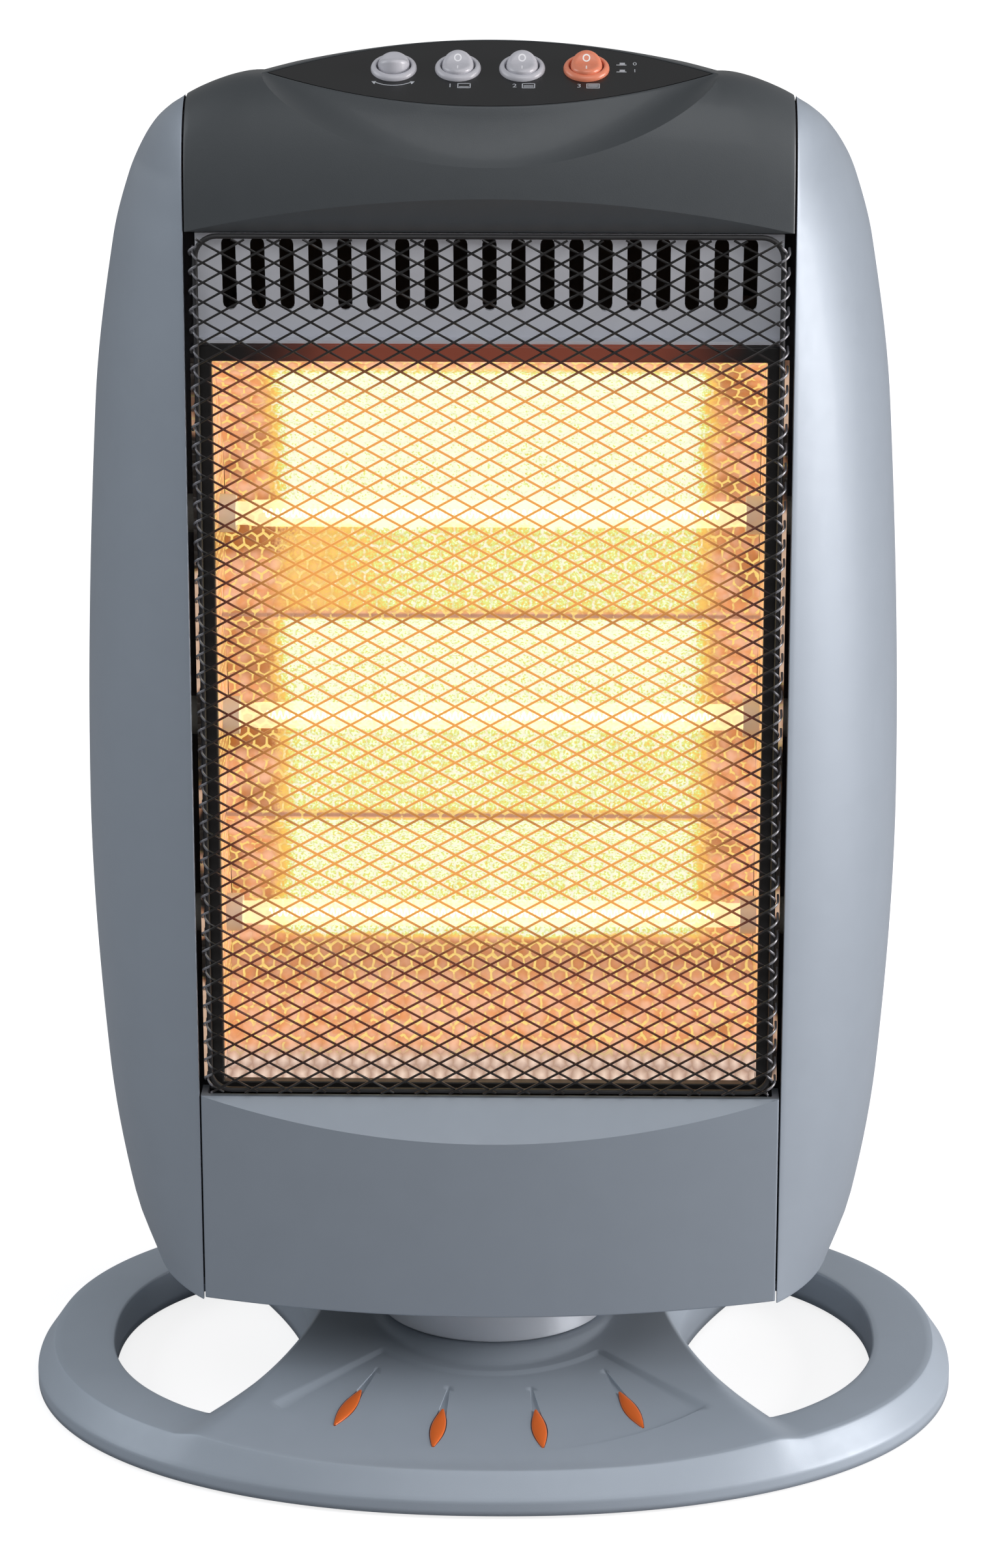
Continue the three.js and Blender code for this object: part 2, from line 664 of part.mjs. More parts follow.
function driveArm() {
  const top = armBottom + ARM_THICKNESS;
  const arm = join(
    upright(TUBE_RADIUS + HUB_WALL, 0, 0, armBottom, top, LARGE_ROUND),
    bar([0, 0], [0, POST_DISTANCE], ARM_WIDTH, armBottom, top),
    upright(PIN_RADIUS, 0, POST_DISTANCE, armBottom, pinTop, SMALL_ROUND),
  );
  return mesh("drive_arm", cut(arm, upright(TUBE_RADIUS + GAP, 0, 0, 0, pinTop, LARGE_ROUND)), materials.steel);
}

function oscillationMotor() {
  const foot = panTop + GAP;
  const ears = MOTOR_RADIUS + MOTOR_EAR;
  const shape = join(
    upright(MOTOR_RADIUS, MOTOR_X, 0, foot, motorTop, MEDIUM_ROUND),
    upright(MOTOR_SHAFT_RADIUS, MOTOR_X, 0, motorTop - 1, motorTop + ARM_CLEARANCE / 2, SMALL_ROUND),
    bar([MOTOR_X, -ears], [MOTOR_X, ears], CRANK_WIDTH, foot, foot + MOTOR_EAR_THICKNESS),
  );
  return mesh("oscillation_motor", shape, materials.steel);
}

function motorCrank() {
  const shape = join(
    bar([MOTOR_X, 0], crankPin, CRANK_WIDTH, armBottom, armBottom + ARM_THICKNESS),
    upright(PIN_RADIUS, ...crankPin, armBottom, pinTop, SMALL_ROUND),
  );
  return mesh("motor_crank", shape, materials.brass);
}

function oscillationLink() {
  const post = [0, POST_DISTANCE];
  const eye = PIN_RADIUS + OPEN_PIVOT_CLEARANCE;
  const top = linkBottom + ARM_THICKNESS;
  const shape = cut(
    bar(crankPin, post, LINK_WIDTH, linkBottom, top).add(
      upright(eye + EYE_WALL, ...post, linkBottom, top, MEDIUM_ROUND),
    ),
    upright(PIN_RADIUS + GAP, ...crankPin, 0, top + 1, SMALL_ROUND),
    upright(eye, ...post, 0, top + 1, MEDIUM_ROUND),
  );
  return mesh("oscillation_link", shape, materials.steel);
}

function swivelHardware() {
  const washerBottom = panTop + GAP;
  const washerTop = washerBottom + WASHER_THICKNESS;
  const clipBottom = washerTop + GAP;
  const clipTop = clipBottom + WASHER_THICKNESS;
  return [
    mesh("swivel_washer", ring(boreRadius, WASHER_RADIUS, washerBottom, washerTop), materials.steel),
    mesh("retaining_ring", ring(TUBE_RADIUS + GAP, CLIP_RADIUS, clipBottom, clipTop), materials.steel),
  ];
}

// ---- Tip-over switch ----

function tipSwitchBody() {
  const bottom = PLATE_BOTTOM + PLATE_THICKNESS + GAP;
  const top = PLUNGER_LENGTH + GAP + TIP_SWITCH_ROOF;
  const shape = cut(
    box(
      -TIP_SWITCH_WIDTH / 2,
      TIP_SWITCH_WIDTH / 2,
      TIP_SWITCH_Y - TIP_SWITCH_DEPTH / 2,
      TIP_SWITCH_Y + TIP_SWITCH_DEPTH / 2,
      bottom,
      top,
    ),
    upright(PLUNGER_RADIUS + 2 * GAP + PLUNGER_FLANGE, 0, TIP_SWITCH_Y, 0, PLUNGER_LENGTH + GAP),
  );
  return mesh("tip_switch_body", shape, materials.black);
}

function tipSwitchPlunger() {
  const flange = PLATE_BOTTOM + PLATE_THICKNESS + GAP + PLUNGER_TRAVEL + GAP;
  const wide = PLUNGER_RADIUS + PLUNGER_FLANGE;
  const shape = turned(
    [
      [0, 0],
      [PLUNGER_RADIUS - PLUNGER_TIP, 0],
      [PLUNGER_RADIUS, PLUNGER_TIP],
      [PLUNGER_RADIUS, flange],
      [wide, flange],
      [wide, flange + PLUNGER_FLANGE],
      [PLUNGER_RADIUS, flange + PLUNGER_FLANGE],
      [PLUNGER_RADIUS, PLUNGER_LENGTH],
      [0, PLUNGER_LENGTH],
    ],
    0,
    TIP_SWITCH_Y,
    SMALL_ROUND,
  );
  return mesh("tip_switch_plunger", shape, materials.switchGrey);
}

// ---- Head surfaces ----

const bulge = (x) => 1 - clamp(Math.abs(x) / COLUMN_HALF, 0, 1) ** 2;
const eyeShare = (x) => Math.max(0, 1 - (x / EYE_HALF_WIDTH) ** 2);
const eyeRun = EYE_HALF_LENGTH * Math.cos(radians(EYE_TILT));
const eyeRise = EYE_HALF_LENGTH * Math.sin(radians(EYE_TILT));

// Crest of the head: the back edge of the control panel, and past its tips a line down to the seams.
function crest(x) {
  const e = eyeShare(x);
  if (e > 0) return { y: EYE_TIP_Y + eyeRun * e, z: EYE_TIP_Z + eyeRise * e };
  const share = clamp((Math.abs(x) - EYE_HALF_WIDTH) / (COLUMN_HALF - EYE_HALF_WIDTH), 0, 1);
  return {
    y: EYE_TIP_Y + (SHOULDER_Y - EYE_TIP_Y) * share,
    z: SHOULDER_Z + (EYE_TIP_Z - SHOULDER_Z) * (1 - share ** 2),
  };
}

const columnFront = (x, z) =>
  COLUMN_FRONT - COLUMN_BULGE * bulge(x) + COLUMN_LEAN * ((z - COLUMN_MIDDLE_Z) / LEAN_REACH) ** 2;

// Front face of the uncut head, inset inwards.
function frontY(x, z, inset = 0) {
  const e = eyeShare(x);
  const crown = { y: EYE_TIP_Y + (SHOULDER_Y - EYE_TIP_Y) * e, z: EYE_TIP_Z + CROWN_RISE * e };
  const over = e > 0 ? crown : crest(x);
  const brow = columnFront(x, Math.min(z, BROW_Z)) + inset;
  if (z <= BROW_Z) return brow;
  const share = clamp((z - BROW_Z) / (over.z - inset - BROW_Z), 0, 1);
  return over.y - (over.y - brow) * (1 - share ** BROW_ROUNDNESS) ** (1 / BROW_ROUNDNESS);
}

// Rear face, inset inwards.
function backY(x, z, inset = 0) {
  const face = BACK_Y + BACK_BULGE * bulge(x) - inset;
  const tucked = Math.max(0, BACK_TUCK_Z - z) / (BACK_TUCK_Z - HEAD_BOTTOM);
  if (z <= BACK_ROUND_Z) return face - BACK_TUCK * tucked ** 2;
  const top = crest(x);
  const share = clamp((z - BACK_ROUND_Z) / (top.z - inset - BACK_ROUND_Z), 0, 1);
  return top.y + (face - top.y) * Math.sqrt(1 - share ** 2);
}

const bulgeShare = smooth(SIDE_BULGE);
const sideHalfWidth = (z) =>
  COLUMN_HALF + SIDE_SWELL * bulgeShare((z - HEAD_BOTTOM) / (SHOULDER_Z - HEAD_BOTTOM));

// Plan curve of the right side of the head from the front seam round to the rear seam.
function sideCurve(z, inset, count = 13) {
  const x0 = COLUMN_HALF + SEAM / 2;
  const wide = Math.max(sideHalfWidth(z) - inset, x0 + 0.05);
  const from = Math.asin(clamp((x0 - SIDE_ARC_CENTRE) / (wide - SIDE_ARC_CENTRE), 0, 0.9995));
  const front = frontY(COLUMN_HALF, z, inset);
  const back = backY(COLUMN_HALF, z, inset);
  const middle = clamp(SIDE_WIDEST_Y, front + (back - front) * 0.4, back - (back - front) * 0.3);
  return spaced(count, from, Math.PI - from).map((angle) => {
    const reach = Math.cos(angle) / Math.cos(from);
    const y = reach > 0 ? middle - (middle - front) * reach : middle - (back - middle) * reach;
    return vector(SIDE_ARC_CENTRE + (wide - SIDE_ARC_CENTRE) * Math.sin(angle), y, z);
  });
}

const sideLevel = (share, inset) => HEAD_BOTTOM + (SHOULDER_Z - inset - HEAD_BOTTOM) * share;

function sidePanel(name, side) {
  const outer = loft(
    SIDE_LEVELS.map((share) => sideCurve(sideLevel(share, 0), 0)),
    fromAbove,
  );
  const opened = (z, at = z) => {
    const curve = sideCurve(z, WALL).map((point) => vector(point.x, point.y, at));
    const inside = COLUMN_HALF - 10;
    return [vector(inside, curve[0].y, at), ...curve, vector(inside, curve[curve.length - 1].y, at)];
  };
  const levels = SIDE_LEVELS.slice(1, -1).map((share) => opened(sideLevel(share, WALL)));
  const inner = loft([opened(HEAD_BOTTOM, HEAD_BOTTOM - 1), ...levels], fromAbove);
  const made = mesh(name, cut(outer, inner), materials.silver);
  made.scale.x = side;
  return made;
}

// ---- Top cover and control panel ----

const chinZ = (x) => EYE_TIP_Z - CHIN_DROP * eyeShare(x) ** CHIN_POWER;
const facetZ = (x) => GUARD_TOP + BROW_FACET * bulge(x);

// Points of the cover's section at x from its lower front edge over the top to its lower rear edge.
function coverLine(x, inset) {
  const e = eyeShare(x);
  const top = crest(x);
  const low = facetZ(x);
  const start = [columnFront(COLUMN_HALF, GUARD_TOP) + inset, GUARD_TOP];
  const high = e > 0 ? chinZ(x) - inset * 1.2 : top.z - inset;
  const front = spaced(6, 0, Math.PI / 2).map((angle) => {
    const z = low + (high - low) * Math.sin(angle);
    return [frontY(x, z, inset), z];
  });
  const seat = inset > 0 ? PANEL_SEAT * Math.min(1, e * 3) : 0;
  const sink = Math.max(inset, seat);
  const edge = e > 0 ? [EYE_TIP_Y - eyeRun * e + sink, EYE_TIP_Z - eyeRise * e - sink] : [top.y, top.z - inset];
  const ridge = e > 0 ? [top.y - sink * 0.3, top.z - sink * 1.1] : [top.y, top.z - inset];
  const rear = spaced(8, 0, 1)
    .slice(1)
    .map((share) => {
      const z = GUARD_TOP + (ridge[1] - GUARD_TOP) * Math.cos((share * Math.PI) / 2);
      const back = e > 0 && inset > 0 ? Math.max(backY(x, z, inset), ridge[0]) : backY(x, z, inset);
      return [back, z];
    });
  return [start, ...front, edge, ridge, ...rear];
}

const eyeFrame = new THREE.Group();
eyeFrame.position.set(0, EYE_TIP_Y, EYE_TIP_Z);
eyeFrame.rotation.x = radians(EYE_TILT);
eyeFrame.updateMatrixWorld(true);

const switchPlaces = mirrored(SWITCHES, SWITCH_PITCH);

// The eye-shaped outline in the slope's own plane, inset from its rim.
function eyeOutline(inset) {
  const half = EYE_HALF_WIDTH - 3 * inset;
  const tall = EYE_HALF_LENGTH - inset;
  const arc = (sign) => spaced(19, -half, half).map((x) => [x, sign * tall * (1 - (x / half) ** 2)]);
  return [...arc(-1), ...arc(1).slice(1, -1).reverse()];
}

// A solid of the slope's own frame, carried into the part's frame.
function onSlope(shape) {
  const made = mesh("", shape, null).geometry;
  return solid(made.applyMatrix4(eyeFrame.matrixWorld));
}

function topCover() {
  const shares = [0, 0.2, 0.38, 0.55, 0.7, 0.82, 0.91, 1];
  const eye = shares.map((share) => EYE_HALF_WIDTH * share);
  const flank = [0.3, 0.65].map((share) => EYE_HALF_WIDTH + (COLUMN_HALF - EYE_HALF_WIDTH) * share);
  const half = [...eye, ...flank, COLUMN_HALF - SEAM / 2];
  const stations = [...half.slice(1).reverse().map((x) => -x), ...half];
  const section = (x) => {
    const line = (inset) => coverLine(x, inset).map(([y, z]) => vector(x, y, z));
    return [...line(0), ...line(WALL).reverse()];
  };
  const shell = loft(stations.map(section));
  const seat = onSlope(prism(eyeOutline(PANEL_BORDER - GAP), -PANEL_THICKNESS - GAP, 10));
  const holes = switchPlaces.map((x) =>
    onSlope(upright(SWITCH_BODY_RADIUS + 2 * GAP, x, SWITCH_V, -SWITCH_DEPTH, 4, MEDIUM_ROUND)),
  );
  return mesh("top_cover", cut(shell, seat, ...holes), materials.charcoal);
}

function controlPanel() {
  const plate = prism(eyeOutline(PANEL_BORDER), -PANEL_THICKNESS, 0);
  const holes = switchPlaces.map((x) =>
    upright(SWITCH_BODY_RADIUS + GAP, x, SWITCH_V, -PANEL_THICKNESS - 1, 1, MEDIUM_ROUND),
  );
  return mesh("control_panel", cut(plate, ...holes), materials.gloss);
}

const switchMaterial = (i) => (i === SWITCHES - 1 ? materials.switchAmber : materials.switchGrey);

function switchBody(i) {
  const x = switchPlaces[i];
  const crownArc = spaced(4, 0, Math.PI / 2).map((angle) => [
    SWITCH_BORE + (BEZEL_RADIUS - SWITCH_BORE) * Math.cos(angle),
    GAP + (BEZEL_HEIGHT - GAP) * Math.sin(angle),
  ]);
  const shape = turned(
    [
      [0, -SWITCH_DEPTH],
      [SWITCH_BODY_RADIUS, -SWITCH_DEPTH],
      [SWITCH_BODY_RADIUS, GAP],
      ...crownArc,
      [SWITCH_BORE, -SWITCH_FLOOR],
      [0, -SWITCH_FLOOR],
    ],
    x,
    SWITCH_V,
    MEDIUM_ROUND,
  );
  return mesh("switch_body_" + (i + 1), shape, switchMaterial(i));
}

// A round rocker about its own pivot: a disc whose top is a shallow valley across the pivot.
function rocker(i) {
  const pivot = -ROCKER_PIVOT;
  const disc = upright(ROCKER_RADIUS, 0, 0, -ROCKER_KEEL, ROCKER_RIM + pivot + 1, MEDIUM_ROUND);
  const wide = ROCKER_RADIUS + 1;
  const side = [
    [-wide, ROCKER_RIM + pivot],
    [-wide, -1],
    [-ROCKER_RADIUS / 2, pivot - ROCKER_KEEL],
    [ROCKER_RADIUS / 2, pivot - ROCKER_KEEL],
    [wide, -1],
    [wide, ROCKER_RIM + pivot],
    [0, ROCKER_WAIST + pivot],
  ];
  const profile = loft(
    [-wide, wide].map((x) => side.map(([y, z]) => vector(x, y, z))),
    fromSide,
  );
  const name = "rocker_" + (i + 1);
  const made = mesh(name, disc.intersect(profile), switchMaterial(i));
  made.position.set(switchPlaces[i], SWITCH_V, ROCKER_PIVOT);
  made.rotation.x = radians(i === 0 ? -ROCKER_TILT : ROCKER_TILT);
  return made;
}

// ---- Lower front panel, rear cover and bottom pan ----

const shellXs = (half) => spaced(13, -half, half);

// A curved wall between levels z(x, v); side flanges reach depth behind its edges, inwards is the sign of y.
function curvedWall(levels, outerY, inwards, depth) {
  const half = COLUMN_HALF - SEAM / 2;
  const rows = levels.map((level) => {
    const outer = shellXs(half).map((x) => vector(x, outerY(x, level), level.z(x)));
    const inner = shellXs(half - WALL).map((x) => vector(x, outerY(x, level) + inwards * WALL, level.z(x)));
    const [first, last] = [outer[0], outer[outer.length - 1]];
    const flange = (point, x) => vector(x, point.y + inwards * depth, point.z);
    return [
      flange(first, first.x),
      ...outer,
      flange(last, last.x),
      flange(last, last.x - WALL),
      ...inner.reverse(),
      flange(first, first.x + WALL),
    ];
  });
  return loft(rows);
}

function lowerFrontPanel() {
  const bottom = (x) => panBottom - LIP_SAG * bulge(x);
  const crease = (x) => GUARD_BOTTOM - SILL_FACET * bulge(x);
  const body = spaced(6, 0, 1).map((share) => ({
    z: (x) => bottom(x) + (crease(x) - bottom(x)) * share,
    share: 0,
  }));
  const sill = { z: () => GUARD_BOTTOM, share: 1 };
  const outerY = (x, level) =>
    level.share === 1 ? columnFront(COLUMN_HALF, GUARD_BOTTOM) : columnFront(x, level.z(x));
  return mesh("lower_front_panel", curvedWall([...body, sill], outerY, 1, FRONT_FLANGE), materials.silver);
}

const alongY = (radius, x, z, y0, y1, sides) => rod(radius, vector(x, y0, z), vector(x, y1, z), sides);
const screwPlaces = SCREW_HEIGHTS.flatMap((z) => [-1, 1].map((side) => [side * SCREW_X, z]));

function rearCover() {
  const tucked = spaced(5, panBottom + PANEL_LIP, BACK_TUCK_Z);
  const rounded = spaced(3, BACK_ROUND_Z, GUARD_TOP - GAP);
  const levels = [...tucked, ...rounded].map((z) => ({ z: () => z }));
  const wall = curvedWall(levels, (x, level) => backY(x, level.z(x)), -1, REAR_FLANGE);
  const face = backY(HANDLE_HALF_WIDTH + WALL, HANDLE_Z);
  const [low, high] = [HANDLE_Z - HANDLE_HEIGHT / 2, HANDLE_Z + HANDLE_HEIGHT / 2];
  const floor = face - HANDLE_DEPTH;
  const pocket = box(
    -HANDLE_HALF_WIDTH - WALL,
    HANDLE_HALF_WIDTH + WALL,
    floor - WALL,
    face - 0.5,
    low - WALL,
    high + WALL,
  );
  const grip = box(-HANDLE_HALF_WIDTH, HANDLE_HALF_WIDTH, floor, PLAN_REACH, low, high);
  const [slotHalf, slotRise] = [REAR_SLOT_WIDTH / 2, REAR_SLOT_HEIGHT / 2];
  const slots = REAR_SLOT_MIDDLES.flatMap((z) =>
    mirrored(REAR_SLOTS, REAR_SLOT_PITCH).map((x) =>
      box(x - slotHalf, x + slotHalf, floor, PLAN_REACH, z - slotRise, z + slotRise),
    ),
  );
  const bosses = screwPlaces.map(([x, z]) => {
    const y = backY(x, z);
    return alongY(SCREW_HEAD_RADIUS + SCREW_BOSS, x, z, y - SCREW_BOSS_DEPTH, y - 1, SMALL_ROUND);
  });
  const recesses = screwPlaces.flatMap(([x, z]) => {
    const y = backY(x, z);
    return [
      alongY(SCREW_HEAD_RADIUS + 2 * GAP, x, z, y - SCREW_RECESS, PLAN_REACH, SMALL_ROUND),
      alongY(SCREW_SHANK_RADIUS + GAP, x, z, 0, y, SMALL_ROUND),
    ];
  });
  const glandHole = alongY(GLAND_RADIUS + GAP, 0, GLAND_Z, 0, PLAN_REACH, MEDIUM_ROUND);
  const shape = cut(join(wall, pocket, ...bosses), grip, ...slots, ...recesses, glandHole);
  return mesh("rear_cover", shape, materials.charcoal);
}

const rearScrews = () =>
  screwPlaces.map(([x, z], i) => {
    const under = backY(x, z) - SCREW_RECESS + GAP;
    const shape = join(
      alongY(SCREW_HEAD_RADIUS, x, z, under, under + SCREW_HEAD, SMALL_ROUND),
      alongY(SCREW_SHANK_RADIUS, x, z, under - SCREW_LENGTH, under + 1, SMALL_ROUND),
    );
    const slot = (wide, tall) =>
      box(x - wide / 2, x + wide / 2, under + SCREW_HEAD / 2, PLAN_REACH, z - tall / 2, z + tall / 2);
    const cross = [slot(SCREW_CROSS, SCREW_CROSS / 4), slot(SCREW_CROSS / 4, SCREW_CROSS)];
    return mesh("rear_screw_" + (i + 1), cut(shape, ...cross), materials.steel);
  });

function cordGland() {
  const face = backY(0, GLAND_Z + GLAND_FLANGE_RADIUS) + GAP;
  const rim = face + GLAND_LIP;
  const shape = cut(
    join(
      alongY(GLAND_FLANGE_RADIUS, 0, GLAND_Z, face, rim, MEDIUM_ROUND),
      alongY(GLAND_RADIUS, 0, GLAND_Z, rim - GLAND_LENGTH, rim + GLAND_NOSE, MEDIUM_ROUND),
    ),
    alongY(GLAND_BORE, 0, GLAND_Z, 0, PLAN_REACH, MEDIUM_ROUND),
  );
  return mesh("cord_gland", shape, materials.rubber);
}

// Plan outline of the whole head at a height, inset inwards.
function headOutline(z, inset) {
  const right = sideCurve(z, inset);
  const left = right.map((point) => vector(-point.x, point.y, z)).reverse();
  const columnXs = spaced(11, -COLUMN_HALF, COLUMN_HALF).slice(1, -1);
  const front = columnXs.map((x) => vector(x, columnFront(x, z) + inset, z));
  const back = columnXs.map((x) => vector(-x, backY(-x, z, inset), z));
  return [...front, ...right, ...back, ...left];
}

function headBasePan() {
  const inset = WALL + 2 * GAP;
  const rimTop = panTop + PAN_RIM;
  const outer = loft([headOutline(panBottom, inset), headOutline(rimTop, inset)], fromAbove);
  const raised = (z, at) => headOutline(z, inset + PAN_RIM_WALL).map((point) => point.setZ(at));
  const inner = loft([raised(panTop, panTop), raised(rimTop, rimTop + 1)], fromAbove);
  const [seamX, wide] = [COLUMN_HALF - SEAM / 2, WALL + 2 * GAP];
  const frontFlange = frontY(COLUMN_HALF, panTop) + FRONT_FLANGE + 1;
  const rearFlange = backY(COLUMN_HALF, panTop) - REAR_FLANGE - 1;
  const flanges = [-seamX, seamX].flatMap((x) => [
    box(x - wide, x + wide, -PLAN_REACH, frontFlange, 0, rimTop + 1),
    box(x - wide, x + wide, rearFlange, PLAN_REACH, 0, rimTop + 1),
  ]);
  const gland = alongY(GLAND_FLANGE_RADIUS, 0, GLAND_Z, 0, PLAN_REACH, MEDIUM_ROUND);
  const boss = upright(PAN_BOSS_RADIUS, 0, 0, collarTop + GAP, panTop, LARGE_ROUND);
  const bore = upright(boreRadius, 0, 0, 0, panTop + 1, LARGE_ROUND);
  return mesh("head_base_pan", cut(join(cut(outer, inner, ...flanges), boss), bore, gland), materials.charcoal);
}

// ---- Heating unit ----

// A rectangle with round corners as plan points of the front view.
function roundedFrame(halfWidth, z0, z1, radius) {
  const corners = [
    [halfWidth - radius, z1 - radius, 0],
    [-halfWidth + radius, z1 - radius, 90],
    [-halfWidth + radius, z0 + radius, 180],
    [halfWidth - radius, z0 + radius, 270],
  ];
  return corners.flatMap(([x, z, start]) =>
    spaced(5, start, start + 90).map((angle) => [
      x + radius * Math.cos(radians(angle)),
      z + radius * Math.sin(radians(angle)),
    ]),
  );
}

const upstand = (outline, y0, y1) =>
  loft(
    [y0, y1].map((y) => outline.map(([x, z]) => vector(x, y, z))),
    fromFront,
  );

function guardGrille() {
  const half = COLUMN_HALF - SEAM / 2 - GAP;
  const [low, high] = [GUARD_BOTTOM + 2 * GAP, GUARD_TOP - 2 * GAP];
  const back = GUARD_FRONT + GUARD_DEPTH;
  const frame = cut(
    upstand(roundedFrame(half, low, high, GUARD_CORNER), GUARD_FRONT, back),
    upstand(
      roundedFrame(half - GUARD_RAIL, low + GUARD_RAIL, high - GUARD_RAIL, GUARD_CORNER - GUARD_RAIL),
      GUARD_FRONT - 1,
      back + 1,
    ),
  );
  const slope = MESH_HEIGHT / MESH_WIDTH;
  const [x1, z0, z1] = [half - GUARD_RAIL / 2, low + GUARD_RAIL / 2, high - GUARD_RAIL / 2];
  const middle = (z0 + z1) / 2;
  const reach = Math.ceil((x1 + (z1 - z0) / 2 / slope) / MESH_WIDTH);
  const wires = [];
  for (const [side, y] of [
    [1, GUARD_FRONT + GUARD_WIRE / 2],
    [-1, GUARD_FRONT + GUARD_WIRE / 2 + GUARD_LAYER],
  ])
    for (let n = -reach; n <= reach; n++) {
      const foot = (n + 0.5) * MESH_WIDTH; // where the wire crosses the middle height
      const at = (z) => foot + ((z - middle) / slope) * side;
      const ends = [z0, z1].map((z) => clamp(at(z), -x1, x1));
      const heights = ends.map((x) => middle + (x - foot) * slope * side);
      const length = Math.hypot(ends[1] - ends[0], heights[1] - heights[0]);
      if (Math.abs(foot) > x1 + (z1 - z0) / 2 / slope || length < 2 * MESH_WIDTH) continue;
      const wire = new THREE.BoxGeometry(length, GUARD_WIRE, GUARD_WIRE);
      wire.rotateY(-Math.atan2(heights[1] - heights[0], ends[1] - ends[0]));
      wire.translate((ends[0] + ends[1]) / 2, y, (heights[0] + heights[1]) / 2);
      wires.push(solid(wire));
    }
  return mesh("guard_grille", join(frame, ...wires), materials.wire);
}

const lampHeights = mirrored(LAMPS, LAMP_PITCH).map((z) => LAMP_MIDDLE_Z + z);
const frameFront = GUARD_FRONT + GUARD_DEPTH + GAP;
const frameBack = frameFront + BEZEL_FRAME_DEPTH;
const mouthY = frameBack + GAP;

function grilleFrame() {
  const half = COLUMN_HALF - SEAM / 2 - WALL - 2 * GAP;
  const [low, high] = [REFLECTOR_BOTTOM - BEZEL_FRAME_BAR / 2, REFLECTOR_TOP + BEZEL_FRAME_BAR];
  const shape = cut(
    box(-half, half, frameFront, frameBack, low, high),
    box(
      -REFLECTOR_HALF_WIDTH,
      REFLECTOR_HALF_WIDTH,
      frameFront - 1,
      frameBack + 1,
      low + BEZEL_FRAME_BAR / 2 + GAP,
      high - BEZEL_FRAME_BAR,
    ),
  );
  return mesh("grille_frame", shape, materials.wire);
}

// Pressed sheet with one trough behind each lamp.
function reflector() {
  const ridges = lampHeights.slice(1).map((z, i) => (lampHeights[i] + z) / 2);
  const edges = [REFLECTOR_BOTTOM, ...ridges, REFLECTOR_TOP];
  const front = edges.slice(1).flatMap((top, i) => {
    const bottom = edges[i];
    const centre = lampHeights[i];
    return spaced(11, bottom, top)
      .slice(i === 0 ? 0 : 1)
      .map((z) => {
        const rimmed = z < centre ? i === 0 : i === LAMPS - 1;
        const rim = rimmed ? mouthY : REFLECTOR_RIDGE;
        const share = z < centre ? (centre - z) / (centre - bottom) : (z - centre) / (top - centre);
        return [REFLECTOR_BACK + (rim - REFLECTOR_BACK) * share ** 2, z];
      });
  });
  const thicker = front.map(([y, z]) => [y + REFLECTOR_SHEET * 1.5, z]).reverse();
  const half = REFLECTOR_HALF_WIDTH - GAP;
  const shape = loft(
    [-half, half].map((x) => [...front, ...thicker].map(([y, z]) => vector(x, y, z))),
  );
  return mesh("reflector", shape, materials.mirror);
}

const alongX = (radius, y, z, x0, x1, sides) => rod(radius, vector(x0, y, z), vector(x1, y, z), sides);

// End wall of the reflector with a turned-out front flange; the sockets pass through it.
function reflectorEnd(name, side) {
  const inside = REFLECTOR_HALF_WIDTH;
  const plan = [
    [inside, mouthY],
    [inside + REFLECTOR_FLANGE, mouthY],
    [inside + REFLECTOR_FLANGE, mouthY + REFLECTOR_SHEET],
    [inside + REFLECTOR_SHEET, mouthY + REFLECTOR_SHEET],
    [inside + REFLECTOR_SHEET, REFLECTOR_BACK],
    [inside, REFLECTOR_BACK],
  ];
  const wall = prism(plan, REFLECTOR_BOTTOM, REFLECTOR_TOP);
  const holes = lampHeights.map((z) => alongX(SOCKET_RADIUS + GAP, LAMP_Y, z, 0, 2 * inside));
  const made = mesh(name, cut(wall, ...holes), materials.mirror);
  made.scale.x = side;
  return made;
}

const lamps = () =>
  lampHeights.map((z, i) => {
    const neck = LAMP_HALF_LENGTH - 2 * SOCKET_BORE_DEPTH;
    const pinched = LAMP_RADIUS - LAMP_PINCH;
    const tube = turned(
      [
        [0, -LAMP_HALF_LENGTH],
        [pinched, -LAMP_HALF_LENGTH],
        [pinched, -neck],
        [LAMP_RADIUS, -neck + LAMP_RADIUS / 2],
        [LAMP_RADIUS, neck - LAMP_RADIUS / 2],
        [pinched, neck],
        [pinched, LAMP_HALF_LENGTH],
        [0, LAMP_HALF_LENGTH],
      ],
      0,
      0,
      SMALL_ROUND,
    );
    const made = mesh("halogen_lamp_" + (i + 1), tube, materials.quartz);
    made.rotation.y = Math.PI / 2;
    made.position.set(0, LAMP_Y, z);
    return made;
  });

const terminalEnd = SOCKET_END + TERMINAL_LENGTH;
const sockets = () =>
  lampHeights.flatMap((z, i) =>
    [
      ["left", -1],
      ["right", 1],
    ].map(([word, side]) => {
      const body = alongX(SOCKET_RADIUS, LAMP_Y, z, side * SOCKET_START, side * SOCKET_END);
      const terminal = alongX(TERMINAL_RADIUS, LAMP_Y, z, side * LAMP_HALF_LENGTH, side * terminalEnd, 8);
      const bore = alongX(LAMP_RADIUS - GAP, LAMP_Y, z, 0, side * (LAMP_HALF_LENGTH + GAP));
      const shape = cut(join(body, terminal), bore);
      return mesh("lamp_socket_" + word + "_" + (i + 1), shape, materials.ceramic);
    }),
  );

